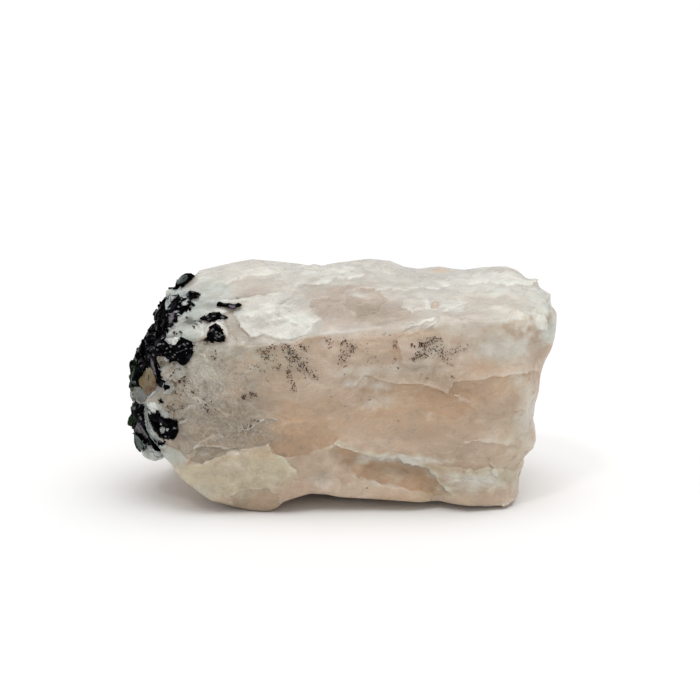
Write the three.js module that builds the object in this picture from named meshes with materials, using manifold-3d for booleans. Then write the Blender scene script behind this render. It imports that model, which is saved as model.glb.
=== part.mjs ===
// A broken chunk of cloudy quartz, rose to tan, that lies on its side, with black
// tourmaline crystals grown into its left end.
// Millimetres, +Z up, +X to the right along the chunk, -Y towards the viewer.
import * as THREE from 'three';
import { ConvexGeometry } from 'three/addons/geometries/ConvexGeometry.js';
import { mergeVertices } from 'three/addons/utils/BufferGeometryUtils.js';
import Module from 'manifold-3d';

const wasm = await Module();
wasm.setup();

// Driving dimensions
const LENGTH = 120;
const DEPTH = 57;
const HEIGHT = 63;
const FRONT = -26.5;          // y of the front face at its belly
const BACK = 28.5;            // y of the back face at its fullest
const CREST_Y = 12;           // y of the line along which the top is highest
const BACK_SLOPE = 0.34;      // fall of the top behind the crest
const SEAT_GAP = 0.35;        // clearance between a crystal and its socket

// How far the worn edges reach: between the chunk's sides, at the sole, at a broken face and
// round a lump
const EDGE_WEAR = 7;
const SOLE_WEAR = 3;
const BREAK_WEAR = 2;
const KNOB_WEAR = 2;

// Facets along the length, depth and height
const CELLS = { x: 36, y: 13, z: 19 };

const quartzFinish = { color: 0xc9b9a2, roughness: 0.45, metalness: 0 };
const tourmalineFinish = { color: 0x16131a, roughness: 0.18, metalness: 0 };
const greenFinish = { color: 0x2c3a24, roughness: 0.3, metalness: 0 };

// Height of the crest along the length, [x, z]
const CREST = [
  [-60, 52], [-48, 58], [-42, 61], [-36, 62], [-25.5, 63.6], [-12, 62.2], [0, 61.6],
  [8, 63], [14, 62], [18, 60.8], [30, 60.4], [38, 60.2], [46, 62.2], [52, 60.8], [60, 58.6],
];
// Height of the rounded ridge where the top turns over into the front face
const RIDGE = [
  [-60, 46], [-48, 48.5], [-26, 47.3], [-15, 49.2], [-6, 51.6], [15, 53], [28, 54.6], [48, 55.4], [60, 51],
];
// Height of the underside along its front edge; what is below zero is cut flat by the ground
const SOLE = [
  [-60, 26], [-48, 13], [-37, 3], [-31, 1.4], [-22, -1.2], [-16, 2], [-9, 4.4], [12, 3.6], [28, 3],
  [38, 1.4], [60, 1],
];
// How far the left end reaches at each height, [z, x]
const LEFT_END = [
  [0, -47], [10, -54], [17, -56.5], [24, -57.5], [31, -58], [38, -56], [44, -52.5], [52, -50],
  [58, -48.5], [66, -46],
];
// How far the right end reaches at each height
const RIGHT_END = [
  [0, 46], [6, 47.4], [13, 48.8], [18, 52.6], [25, 51.2], [34, 52.8], [42, 55], [49, 57.8],
  [54, 59.4], [64, 57.6],
];

const mix = (a, b, t) => a + (b - a) * t;
const clamp01 = (t) => Math.min(1, Math.max(0, t));
const smooth = (t) => clamp01(t) ** 2 * (3 - 2 * clamp01(t));

// Value of a curve, given as points in rising order, at one place
function along(points, at) {
  if (at <= points[0][0]) return points[0][1];
  for (let i = 1; i < points.length; i += 1) {
    const [from, low] = points[i - 1];
    const [to, high] = points[i];
    if (at <= to) return mix(low, high, (at - from) / (to - from));
  }
  return points[points.length - 1][1];
}

// The larger of two values, with a rounded change from one to the other
function softMax(a, b, softness) {
  const near = Math.max(softness - Math.abs(a - b), 0) / softness;
  return Math.max(a, b) + (near * near * softness) / 4;
}

// Smooth pseudo-random field between -1 and 1 with lumps one unit wide
function hash(i, j, k) {
  const mixed = Math.sin(i * 127.1 + j * 311.7 + k * 74.7) * 43758.5453;
  return (mixed - Math.floor(mixed)) * 2 - 1;
}

function lumps(x, y, z) {
  const [i, j, k] = [Math.floor(x), Math.floor(y), Math.floor(z)];
  const [u, v, w] = [smooth(x - i), smooth(y - j), smooth(z - k)];
  const row = (dj, dk) => mix(hash(i, j + dj, k + dk), hash(i + 1, j + dj, k + dk), u);
  return mix(mix(row(0, 0), row(1, 0), v), mix(row(0, 1), row(1, 1), v), w);
}

// How much a side is drawn in away from the middle of its width
function drawnIn({ middle, from, over, by }, at) {
  return by * smooth((Math.abs(at - middle) - from) / over);
}

// Signed distance of a point to a line of points that runs left to right, positive below it
function belowLine(line, x, z) {
  let near = Infinity;
  for (let i = 1; i < line.length; i += 1) {
    const [x0, z0] = line[i - 1];
    const [dx, dz] = [line[i][0] - x0, line[i][1] - z0];
    const t = clamp01(((x - x0) * dx + (z - z0) * dz) / (dx * dx + dz * dz));
    near = Math.min(near, Math.hypot(x - x0 - dx * t, z - z0 - dz * t));
  }
  return z < along(line, x) ? near : -near;
}

// A ledge on the front face: under its line the face stands out by rise, and fades back over fade
function ledge({ line, rise, fade, scarp = 3.4, ends = 5 }, x, z) {
  const below = belowLine(line, x, z);
  const within = smooth((x - line[0][0]) / ends) * smooth((line[line.length - 1][0] - x) / ends);
  return rise * within * smooth(below / scarp + 0.5) * (1 - smooth(below / fade));
}

// A shallow bowl on the front face, deepest at its centre
function bowl({ at, reach, deep }, x, z) {
  const away = Math.hypot((x - at[0]) / reach[0], (z - at[1]) / reach[1]);
  return deep * (1 - smooth(away));
}

// Lines on the front face, [x, z]: the lobe at the lower left, the lip over the brown scoop,
// the light plane right of the scoop, the brown band and two long steps over it
const FRONT_LEDGES = [
  {
    line: [[-54, 21], [-43, 18], [-40, 14.8], [-36, 15], [-31, 17.8], [-20, 19.4], [-15.5, 14.5],
      [-11.8, 11], [-8, 4]],
    rise: 2.8, fade: 24, scarp: 5, ends: 7,
  },
  {
    line: [[-4, 20.2], [1.8, 18.2], [9, 16], [15, 15.9], [19, 13.9], [23.3, 12.8], [26.6, 8.2], [30, 5]],
    rise: -2.6, fade: 11,
  },
  { line: [[25, 15], [38, 15.5], [50, 17]], rise: 1.2, fade: 10 },
  {
    line: [[3, 37], [6.4, 39], [13, 37.2], [24.4, 36.3], [30, 36.8], [38.4, 37.7], [42, 34]],
    rise: -1.2, fade: 8,
  },
  { line: [[-24, 27], [-8, 30], [8, 31], [26, 28], [40, 26]], rise: 1.1, fade: 9 },
];
const FRONT_BOWLS = [
  { at: [13, 11.5], reach: [17, 7], deep: 1.6 },
  { at: [32, 33], reach: [13, 6], deep: 1.2 },
  { at: [-11, 20.5], reach: [11, 8], deep: 1.8 },
  { at: [-37, 30], reach: [8, 12], deep: 1.2 },
];

// The sides lean and taper: each is drawn in past a distance from its middle
const FRONT_LEAN = { middle: 26, from: 0, over: 34, by: 2.2 };
const FRONT_TAPER = { middle: 2, from: 30, over: 30, by: 3 };
const BACK_LEAN = { middle: 23, from: 11, over: 26, by: 4 };
const BACK_TAPER = { middle: -4, from: 26, over: 34, by: 4 };
const LEFT_ROUND = { middle: -1, from: 6, over: 24, by: 10 };
const RIGHT_ROUND = { middle: 2, from: 15, over: 14, by: 5 };
const RIGHT_TURN = 0.1;

function frontSide(x, z) {
  const stepped = FRONT_LEDGES.reduce((sum, step) => sum + ledge(step, x, z), 0);
  const hollow = FRONT_BOWLS.reduce((sum, dip) => sum + bowl(dip, x, z), 0);
  return FRONT + drawnIn(FRONT_LEAN, z) + drawnIn(FRONT_TAPER, x) - stepped + hollow;
}

function backSide(x, z) {
  return BACK - drawnIn(BACK_LEAN, z) - drawnIn(BACK_TAPER, x);
}

// The top turns over the ridge, rises to the crest and falls behind it
function topSide(x, y) {
  const rise = smooth(0.08 + (0.92 * (y - FRONT)) / (CREST_Y - FRONT));
  return mix(along(RIDGE, x), along(CREST, x), rise) - BACK_SLOPE * Math.max(0, y - CREST_Y);
}

// The sole arches only along its front edge; under the left end it is cut away right through
const ARCH_DEPTH = 26;
const UNDERCUT = { above: 8, drop: 4 };
function underSide(x, y) {
  const inward = smooth((y - FRONT) / ARCH_DEPTH);
  const sole = along(SOLE, x);
  if (sole > UNDERCUT.above) return sole - UNDERCUT.drop * inward;
  return mix(sole, Math.min(sole, -1), inward);
}

function leftSide(y, z) {
  return along(LEFT_END, z) + drawnIn(LEFT_ROUND, y);
}

function rightSide(y, z) {
  return along(RIGHT_END, z) - RIGHT_TURN * y - drawnIn(RIGHT_ROUND, y);
}

// Broken faces: each one is flat, lies at a point and looks along a direction
const BREAKS = [
  { at: [51.5, -21, 30], facing: [0.74, -0.66, 0.08] },
  { at: [54.5, -6, 57.5], facing: [0.42, -0.25, 0.87] },
  { at: [49, 18, 40], facing: [0.8, 0.55, 0.25] },
  { at: [30, 24, 50], facing: [0.12, 0.75, 0.65] },
  { at: [-14, 26, 48], facing: [-0.15, 0.86, 0.48] },
  { at: [-42, 19, 36], facing: [-0.62, 0.78, 0.1] },
  { at: [-42, 15, 58], facing: [-0.5, 0.35, 0.79] },
  { at: [8, 28, 22], facing: [0.18, 0.97, -0.15] },
  { at: [40, 23, 12], facing: [0.5, 0.75, -0.43] },
  { at: [-30, 22, 8], facing: [-0.35, 0.7, -0.62] },
  { at: [-43, -2, 6.5], facing: [-0.66, -0.1, -0.74] },
  { at: [-46, -23, 34], facing: [-0.6, -0.8, 0.05] },
];

// Lumps that stand out of the left end: the heel under the blades, the grey lump over them, the
// lobe above the central crystals and the stained patch beside the left prism
const KNOBS = [
  { at: [-53, -11.5, 14.8], reach: [4.2, 5, 4] },
  { at: [-55.6, -11, 30.6], reach: [3.4, 4.6, 4] },
  { at: [-42.8, -17.6, 48.4], reach: [5.4, 4, 3.4] },
  { at: [-52.6, -14.4, 36], reach: [2.8, 3.4, 4] },
];

const breakPlanes = BREAKS.map(({ at, facing }) => {
  const normal = new THREE.Vector3(...facing).normalize();
  return { normal, offset: normal.dot(new THREE.Vector3(...at)) };
});

// Distance to a rounded lump, negative inside it
function knobField({ at, reach }, { x, y, z }) {
  const away = Math.hypot((x - at[0]) / reach[0], (y - at[1]) / reach[1], (z - at[2]) / reach[2]);
  return (away - 1) * Math.min(...reach);
}

// Lumps all over the surface, by their length, depth and height
const LUMPS = [{ size: [17, 12, 11], deep: 1.1 }, { size: [7, 5, 5], deep: 0.55 }];

// Negative inside the quartz, positive outside
function quartzField(p) {
  const { x, y, z } = p;
  let field = softMax(frontSide(x, z) - y, z - topSide(x, y), EDGE_WEAR);
  field = softMax(field, y - backSide(x, z), EDGE_WEAR);
  field = softMax(field, leftSide(y, z) - x, EDGE_WEAR);
  field = softMax(field, x - rightSide(y, z), EDGE_WEAR);
  field = softMax(field, underSide(x, y) - z, SOLE_WEAR);
  for (const { normal, offset } of breakPlanes) {
    field = softMax(field, normal.dot(p) - offset, BREAK_WEAR);
  }
  for (const { size, deep } of LUMPS) {
    field += deep * lumps(x / size[0], y / size[1], z / size[2]);
  }
  for (const knob of KNOBS) {
    field = -softMax(-field, -knobField(knob, p), KNOB_WEAR);
  }
  return Math.max(field, -z);
}

// The line inside the chunk from which its surface is sought outwards
const SPINE = { along: 0.58, across: 0.1, height: 25, rise: 0.12 };
const STRIDE = 0.04;
const FARTHEST = 3;
const HALVINGS = 26;

// Where the ray from the spine through a point of the grid leaves the quartz
function surfacePoint(grid) {
  const height = SPINE.height + grid.z * SPINE.rise;
  const start = new THREE.Vector3(grid.x * SPINE.along, grid.y * SPINE.across, height);
  const reach = grid.clone().sub(start);
  const at = (t) => start.clone().addScaledVector(reach, t);
  let outer = STRIDE;
  while (quartzField(at(outer)) < 0 && outer < FARTHEST) outer += STRIDE;
  let inner = outer - STRIDE;
  for (let i = 0; i < HALVINGS; i += 1) {
    const middle = (inner + outer) / 2;
    if (quartzField(at(middle)) < 0) inner = middle;
    else outer = middle;
  }
  const found = at(inner);
  const onGround = found.z < 1e-3;
  return onGround ? found.setZ(0) : found;
}

// A box grid drawn out to the quartz's surface
function quartzGeometry() {
  const box = new THREE.BoxGeometry(LENGTH, DEPTH, HEIGHT, CELLS.x, CELLS.y, CELLS.z);
  box.translate(0, 0, HEIGHT / 2);
  const geometry = weld(box);
  const places = geometry.getAttribute('position');
  for (let i = 0; i < places.count; i += 1) {
    const found = surfacePoint(new THREE.Vector3().fromBufferAttribute(places, i));
    places.setXYZ(i, found.x, found.y, found.z);
  }
  return geometry;
}

function weld(geometry) {
  const bare = geometry.clone();
  bare.deleteAttribute('normal');
  bare.deleteAttribute('uv');
  return mergeVertices(bare, 1e-4);
}

function solid(geometry) {
  const welded = weld(geometry);
  const vertProperties = new Float32Array(welded.getAttribute('position').array);
  const triVerts = new Uint32Array(welded.getIndex().array);
  return new wasm.Manifold(new wasm.Mesh({ numProp: 3, vertProperties, triVerts }));
}

function meshOf(manifold) {
  const { vertProperties, triVerts } = manifold.getMesh();
  const geometry = new THREE.BufferGeometry();
  geometry.setAttribute('position', new THREE.BufferAttribute(vertProperties, 3));
  geometry.setIndex(new THREE.BufferAttribute(triVerts, 1));
  geometry.computeVertexNormals();
  return geometry;
}

function piece(name, manifold, finish) {
  const mesh = new THREE.Mesh(meshOf(manifold), new THREE.MeshStandardMaterial(finish));
  mesh.name = name;
  return mesh;
}

// Corner points of a stout crystal from one end to the other: six faces of unequal width
// and slanted caps
const FACE_REACH = [1, 0.84, 0.95, 1.02, 0.8, 0.93];
function prism({ from, to, across, turn = 0 }, grow) {
  const [start, end] = [new THREE.Vector3(...from), new THREE.Vector3(...to)];
  const axis = end.clone().sub(start).normalize();
  const side = new THREE.Vector3(0, 1, 0).cross(axis).normalize();
  const other = axis.clone().cross(side);
  const points = [];
  for (const [centre, outward] of [[start, -1], [end, 1]]) {
    FACE_REACH.forEach((reach, i) => {
      const angle = turn + (i * Math.PI) / 3;
      const radius = (across / 2) * reach + grow;
      const slant = outward * (grow + 0.14 * across * Math.cos(angle * 2 + outward));
      points.push(centre.clone().addScaledVector(side, radius * Math.cos(angle))
        .addScaledVector(other, radius * Math.sin(angle)).addScaledVector(axis, slant));
    });
  }
  return points;
}

// Corner points of a broken, blocky crystal, spread evenly round it and moved a little each
const CHUNK_CORNERS = 15;
const GOLDEN_ANGLE = Math.PI * (3 - Math.sqrt(5));
function chunk({ at, size, turn = [0, 0, 0], seed = 1 }, grow) {
  const spin = new THREE.Euler(...turn);
  const points = [];
  for (let i = 0; i < CHUNK_CORNERS; i += 1) {
    const height = 1 - (2 * (i + 0.5)) / CHUNK_CORNERS;
    const around = i * GOLDEN_ANGLE + 0.5 * hash(i, seed, 3);
    const ring = Math.sqrt(1 - height * height);
    const corner = new THREE.Vector3(ring * Math.cos(around), ring * Math.sin(around), height);
    const blocky = 0.62 / Math.max(Math.abs(corner.x), Math.abs(corner.y), Math.abs(corner.z)) + 0.38;
    corner.multiplyScalar(blocky * (0.92 + 0.12 * hash(seed, i, 7)));
    corner.multiply(new THREE.Vector3(...size).multiplyScalar(0.5).addScalar(grow));
    points.push(corner.applyEuler(spin).add(new THREE.Vector3(...at)));
  }
  return points;
}

// Corner points of a slab with the given outline, [right, up], that faces outwards from a point
function slab({ at, facing, outline, thick }, grow) {
  const normal = new THREE.Vector3(...facing).normalize();
  const right = new THREE.Vector3(0, 0, 1).cross(normal).normalize();
  const up = normal.clone().cross(right);
  const reach = Math.max(...outline.map(([a, b]) => Math.hypot(a, b)));
  const points = [];
  for (const [depth, size] of [[-thick / 2 - grow, 0.82], [0, 1.04], [thick / 2 + grow, 0.9]]) {
    for (const [a, b] of outline) {
      const stretch = size * (1 + grow / reach * 1.5);
      points.push(new THREE.Vector3(...at).addScaledVector(right, a * stretch)
        .addScaledVector(up, b * stretch).addScaledVector(normal, depth));
    }
  }
  return points;
}

// One solid of the crystals grown together, each with its faces moved out by grow
function grownTogether(crystals, grow) {
  const solids = crystals.map(([shape, form]) => solid(new ConvexGeometry(shape(form, grow))));
  return solids.reduce((joined, next) => joined.add(next));
}

// The crystals by node. Each is seated in the quartz and stands out of it.
const CRYSTALS = {
  tourmaline_crown: [
    [chunk, { at: [-44, 4.6, 58.8], size: [7.4, 4.4, 3.8], turn: [0, -0.5, 0.2], seed: 2 }],
  ],
  tourmaline_upper_chip: [
    [chunk, { at: [-41.2, -4.8, 56.6], size: [4.2, 3, 2.8], turn: [0.3, -0.1, 0.1], seed: 3 }],
  ],
  tourmaline_edge_chip: [
    [chunk, { at: [-48.1, -2.2, 55.6], size: [2.4, 2.4, 2.6], seed: 4 }],
  ],
  tourmaline_upper_cluster: [
    [chunk, { at: [-45.8, -5.8, 54.2], size: [6.4, 5, 4.6], turn: [0.4, 0.2, 0], seed: 5 }],
    [chunk, { at: [-43.2, -8, 54.2], size: [4.4, 4.4, 3.2], turn: [0.3, 0, 0.6], seed: 6 }],
    [prism, { from: [-48.4, -3.8, 54], to: [-50.2, -9.8, 47], across: 3.6, turn: 0.4 }],
    [prism, { from: [-46.4, -6.6, 53.6], to: [-47.8, -12.8, 49.2], across: 4, turn: 0.1 }],
  ],
  tourmaline_mass: [
    [chunk, { at: [-51.4, -10.6, 42.8], size: [7, 7, 7], turn: [0.2, 0.3, 0.4], seed: 7 }],
    [chunk, { at: [-49.8, -14.6, 43.6], size: [6.4, 6.4, 6], turn: [0.5, 0.1, 0.2], seed: 20 }],
    [chunk, { at: [-47.2, -17.8, 44.6], size: [7.6, 6.6, 6.6], turn: [0.1, -0.3, 0.8], seed: 8 }],
    [chunk, { at: [-43.4, -21.2, 45], size: [7.4, 5.4, 7.4], turn: [0.1, 0.2, -0.3], seed: 9 }],
    [chunk, { at: [-52.4, -8, 43.8], size: [5.4, 6.6, 6], turn: [0, 0.5, 0], seed: 10 }],
    [chunk, { at: [-54.6, -8.6, 40.6], size: [5.4, 6.4, 5], turn: [0.3, 0, 0.2], seed: 11 }],
    [prism, { from: [-52, -14, 42.6], to: [-50.6, -19.4, 35.4], across: 3.4, turn: 0.3 }],
    [prism, { from: [-50.6, -15.6, 42.4], to: [-49, -20.6, 35], across: 3.2, turn: 0.9 }],
  ],
  tourmaline_left_prism: [
    [prism, { from: [-55.8, -12, 37.2], to: [-57.1, -13.2, 31.8], across: 4.2, turn: 0.2 }],
    [prism, { from: [-54.6, -14, 36.8], to: [-55.6, -15.4, 33], across: 3.2, turn: 0.6 }],
  ],
  tourmaline_lower_cluster: [
    [chunk, { at: [-56, -14.4, 26.4], size: [4.6, 5, 5], seed: 12 }],
    [chunk, { at: [-55.4, -15.4, 22.8], size: [5, 5, 6], turn: [0.2, 0.3, 0], seed: 13 }],
    [prism, { from: [-55.6, -16, 23.4], to: [-50.2, -19, 15.8], across: 2.8, turn: 0.5 }],
  ],
  tourmaline_end_cluster: [
    [chunk, { at: [-52.4, 1.6, 43.4], size: [6, 7, 7], turn: [0.3, 0.2, 0.4], seed: 21 }],
    [chunk, { at: [-54.4, 4, 38.4], size: [6, 7, 7], turn: [0.1, 0.6, 0.1], seed: 22 }],
    [prism, { from: [-50.6, 0.6, 45.6], to: [-47.8, 4.4, 52.4], across: 4.2, turn: 0.2 }],
    [prism, { from: [-55.4, 5, 37], to: [-55.8, 8.4, 30.4], across: 4.2, turn: 0.5 }],
    [prism, { from: [-53.4, 4.4, 40], to: [-50.6, 11, 42], across: 3.8, turn: 0.8 }],
  ],
  tourmaline_back_prism: [
    [prism, { from: [-57.2, -2.6, 28.6], to: [-56.4, 1.6, 22], across: 3.8, turn: 0.4 }],
  ],
  tourmaline_back_chip: [
    [chunk, { at: [-54.2, 6, 20.6], size: [4.2, 5, 4.4], turn: [0.2, 0.2, 0.6], seed: 23 }],
  ],
  tourmaline_green_stub: [
    [chunk, { at: [-58, -10.6, 22.4], size: [3.4, 4, 4.8], turn: [0, 0.3, 0.2], seed: 14 }],
  ],
  tourmaline_lower_blades: [
    [prism, { from: [-57.2, -12.6, 19.8], to: [-54, -14.6, 16.2], across: 3, turn: 0.2 }],
    [prism, { from: [-57.6, -11, 19], to: [-54.6, -12.4, 14], across: 3.2, turn: 0.7 }],
  ],
  tourmaline_block: [
    [slab, {
      at: [-48.4, -21, 23.8], facing: [-0.42, -0.9, 0.05], thick: 3.6,
      outline: [[-4.4, 3.9], [-1.4, 3.9], [0, 2.6], [2.4, 2.5], [4, 1.9], [4.4, 0.2], [3.7, -1.8],
        [2.6, -3.8], [-0.4, -3.7], [-2.5, -2.2], [-3.8, 0], [-4.6, 1.9]],
    }],
  ],
  tourmaline_low_chip: [
    [chunk, { at: [-49.6, -20.4, 18.4], size: [2.6, 2, 1.4], turn: [0, 0.3, 0], seed: 15 }],
  ],
  tourmaline_inset_upper: [
    [slab, {
      at: [-35.3, -13.3, 52.5], facing: [-0.02, -0.5, 0.86], thick: 2.8,
      outline: [[-3.4, -0.4], [-0.4, 1.6], [1.8, 2], [3.6, 0.6], [2.4, -0.6], [0.2, -1.9], [-1.2, -1.6]],
    }],
  ],
  tourmaline_inset_middle: [
    [slab, {
      at: [-34.2, -20.6, 49.6], facing: [0, -0.68, 0.73], thick: 3,
      outline: [[0, 3.4], [1.6, 1.4], [2.8, -0.8], [2.9, -2.2], [1.6, -3], [-1.2, -2.6], [-3.8, -2.2],
        [-2.8, -1], [-2, 1.6]],
    }],
  ],
  tourmaline_needle: [
    [prism, { from: [-34.4, -9.8, 55.2], to: [-28.6, -9.6, 55], across: 1.5, turn: 0.3 }],
    [chunk, { at: [-28.4, -9.7, 55], size: [2, 1.8, 1.8], seed: 16 }],
  ],
  tourmaline_side_chip: [
    [chunk, { at: [-47.6, -21.8, 35.2], size: [2.4, 1.8, 1.6], turn: [0, -0.3, 0], seed: 17 }],
  ],
  tourmaline_small_chip: [
    [chunk, { at: [-49.1, -20.9, 30.9], size: [2, 1.8, 1.6], seed: 18 }],
  ],
  tourmaline_dot: [
    [chunk, { at: [-39.6, -17.6, 51.2], size: [2, 1.8, 1.8], seed: 19 }],
  ],
};

const specimen = new THREE.Group();
let quartz = solid(quartzGeometry());
for (const [name, crystals] of Object.entries(CRYSTALS)) {
  quartz = quartz.subtract(grownTogether(crystals, SEAT_GAP));
  const finish = name === 'tourmaline_green_stub' ? greenFinish : tourmalineFinish;
  specimen.add(piece(name, grownTogether(crystals, 0), finish));
}
specimen.add(piece('quartz', quartz, quartzFinish));

// The origin is on the ground under the middle of the specimen's box
const middle = new THREE.Box3().setFromObject(specimen).getCenter(new THREE.Vector3());
specimen.position.set(-middle.x, -middle.y, 0);

export default specimen;
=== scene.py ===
"""Quartz with tourmaline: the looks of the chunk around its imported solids.

Metres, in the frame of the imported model. The camera stands where the photograph was taken from.
Places on the front are named by the photograph's pixels, on its 700 by 700 frame, and each is
found on the stone by looking from the camera; places on the other sides are given in millimetres.
"""

import math
from functools import reduce

import bmesh
import bpy
import numpy as np
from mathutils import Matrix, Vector, noise
from mathutils.bvhtree import BVHTree
from mathutils.kdtree import KDTree
from mathutils.geometry import delaunay_2d_cdt


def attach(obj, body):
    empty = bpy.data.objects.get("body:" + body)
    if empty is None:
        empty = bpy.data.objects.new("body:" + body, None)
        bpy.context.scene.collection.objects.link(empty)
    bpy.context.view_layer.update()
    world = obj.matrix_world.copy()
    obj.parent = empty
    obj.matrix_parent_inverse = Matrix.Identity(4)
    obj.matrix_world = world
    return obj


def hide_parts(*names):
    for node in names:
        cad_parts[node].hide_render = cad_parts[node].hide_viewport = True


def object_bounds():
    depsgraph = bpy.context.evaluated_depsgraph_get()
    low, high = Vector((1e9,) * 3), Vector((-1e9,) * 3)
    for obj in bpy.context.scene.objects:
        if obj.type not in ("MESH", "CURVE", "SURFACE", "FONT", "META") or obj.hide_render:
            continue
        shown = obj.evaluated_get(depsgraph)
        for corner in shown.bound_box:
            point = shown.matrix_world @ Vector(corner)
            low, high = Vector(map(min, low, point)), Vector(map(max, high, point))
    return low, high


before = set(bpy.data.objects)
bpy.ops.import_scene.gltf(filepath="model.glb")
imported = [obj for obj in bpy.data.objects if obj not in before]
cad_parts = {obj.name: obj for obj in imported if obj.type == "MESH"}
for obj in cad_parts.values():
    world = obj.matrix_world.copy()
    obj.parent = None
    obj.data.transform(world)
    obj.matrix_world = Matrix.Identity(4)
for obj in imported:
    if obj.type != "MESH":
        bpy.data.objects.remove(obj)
cad_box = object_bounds()

MM = 0.001


# The camera: where it stands, and how a point of the stone shows in the photograph

PHOTO_SIZE = 700
AIM = np.array([2.1, 0.0, 39.25]) * MM
CAMERA_AWAY = 600 * MM
CAMERA_RISE = math.radians(15)
LENS = 110.2
SENSOR = 36.0
FOCAL = LENS / SENSOR * PHOTO_SIZE

RIGHT = np.array([1.0, 0.0, 0.0])
FORWARD = np.array([0.0, math.cos(CAMERA_RISE), -math.sin(CAMERA_RISE)])
UP = np.array([0.0, math.sin(CAMERA_RISE), math.cos(CAMERA_RISE)])
EYE = AIM - FORWARD * CAMERA_AWAY
FACING_LEAST = 0.1


def on_photo(points):
    """The pixels at which points show, one row each."""
    away = points - EYE
    depth = away @ FORWARD
    across = PHOTO_SIZE / 2 + FOCAL * (away @ RIGHT) / depth
    down = PHOTO_SIZE / 2 - FOCAL * (away @ UP) / depth
    return np.stack([across, down], axis=1)


def moved_on_photo(points, shift):
    """Points moved so that they show so many pixels to the right and down from where they did."""
    depth = ((points - EYE) @ FORWARD)[:, None]
    return points + (shift[:, :1] * RIGHT - shift[:, 1:] * UP) * depth / FOCAL


def shows(normals):
    """Which points face the camera."""
    return normals @ -FORWARD > FACING_LEAST


def look_through(pixel):
    """The direction from the camera through a pixel."""
    across, down = pixel
    way = FORWARD * FOCAL + RIGHT * (across - PHOTO_SIZE / 2) + UP * (PHOTO_SIZE / 2 - down)
    return Vector(way).normalized()


# Small tools for meshes

MERGE_WITHIN = 0.001 * MM


def smooth(t):
    """0 below 0, 1 above 1, and a soft turn between them."""
    t = np.clip(t, 0, 1)
    return t * t * (3 - 2 * t)


def read_out(items, name, width, kind=float):
    """One named value of all points or edges of a mesh, a row for each."""
    values = np.zeros(len(items) * width, kind)
    items.foreach_get(name, values)
    return values.reshape(-1, width)


def points_of(mesh):
    """Where a mesh's points are."""
    return read_out(mesh.vertices, "co", 3)


def normals_of(mesh):
    """The ways that a mesh's points face."""
    return read_out(mesh.vertex_normals, "vector", 3)


def edges_of(mesh):
    """The two points of each edge of a mesh."""
    return read_out(mesh.edges, "vertices", 2, int)


def set_points(mesh, points):
    """Moves a mesh's points."""
    mesh.vertices.foreach_set("co", points.astype(np.float32).ravel())
    mesh.update()


def set_points_inside(mesh, points):
    """Moves a mesh's points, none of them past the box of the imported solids."""
    set_points(mesh, np.clip(points, *np.array(cad_box)))


def keep_field(mesh, name, values):
    """Stores one number a point, for the materials to read."""
    field = mesh.attributes.get(name) or mesh.attributes.new(name, "FLOAT", "POINT")
    field.data.foreach_set("value", values.astype(np.float32))


def neighbour_mean(values, edges):
    """The mean of each point's neighbours."""
    count = len(values)
    total = np.zeros_like(values)
    for axis in range(values.shape[1]):
        total[:, axis] += np.bincount(edges[:, 0], values[edges[:, 1], axis], count)
        total[:, axis] += np.bincount(edges[:, 1], values[edges[:, 0], axis], count)
    number = np.bincount(edges.ravel(), minlength=count)
    return total / number[:, None]


def relax(mesh, rounds, share=0.6):
    """Smooths a mesh, as many rounds as given."""
    points, edges = points_of(mesh), edges_of(mesh)
    for _ in range(rounds):
        points += share * (neighbour_mean(points, edges) - points)
    set_points(mesh, points)


def rough_field(points, size, seed):
    """Smooth noise over points, about -1 to 1, with lumps of the given size."""
    shift = Vector((seed * 3.7, seed * -5.3, seed * 7.9))
    return np.array([noise.noise(Vector(p) + shift) for p in points / size])


def mesh_from(bm, name):
    """The mesh that a bmesh holds; the bmesh itself is thrown away."""
    mesh = bpy.data.meshes.new(name)
    bm.to_mesh(mesh)
    bm.free()
    return mesh


def joined_mesh(meshes, name):
    """One mesh of several."""
    bm = bmesh.new()
    for mesh in meshes:
        bm.from_mesh(mesh)
    return mesh_from(bm, name)


def merged_mesh(nodes, swell=0.0):
    """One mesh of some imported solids, their loose triangles merged, each swollen a little."""
    solids = []
    for node in nodes:
        bm = bmesh.new()
        bm.from_mesh(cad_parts[node].data)
        bmesh.ops.remove_doubles(bm, verts=bm.verts, dist=MERGE_WITHIN)
        bm.normal_update()
        for v in bm.verts:
            v.co += v.normal * swell
        solids.append(mesh_from(bm, "merged"))
    return joined_mesh(solids, "merged")


def tree_of(mesh):
    """A finder of the nearest place on a mesh, and of where a ray meets it."""
    bm = bmesh.new()
    bm.from_mesh(mesh)
    tree = BVHTree.FromBMesh(bm)
    bm.free()
    return tree


def placed(name, data):
    """An object of a mesh, a lamp or a camera, in the scene."""
    obj = bpy.data.objects.new(name, data)
    bpy.context.scene.collection.objects.link(obj)
    return obj


def finished_mesh(obj, name):
    """The plain mesh of an object with its modifiers applied; the object itself is thrown away."""
    graph = bpy.context.evaluated_depsgraph_get()
    mesh = bpy.data.meshes.new_from_object(obj.evaluated_get(graph))
    mesh.name = name
    bpy.data.objects.remove(obj)
    return mesh


def even_cells(mesh, cell, name):
    """The same form in even cells, with all its parts joined."""
    obj = placed(name + "_raw", mesh)
    remesh = obj.modifiers.new("even_cells", "REMESH")
    remesh.mode = "VOXEL"
    remesh.voxel_size = cell
    remesh.adaptivity = 0
    return finished_mesh(obj, name)


def thinned(mesh, triangles, name):
    """The same form with about so many triangles, most of them left where the form bends."""
    obj = placed(name + "_raw", mesh)
    thin = obj.modifiers.new("thinned", "DECIMATE")
    thin.ratio = min(1, triangles / (2 * len(mesh.polygons)))
    return finished_mesh(obj, name)


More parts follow.
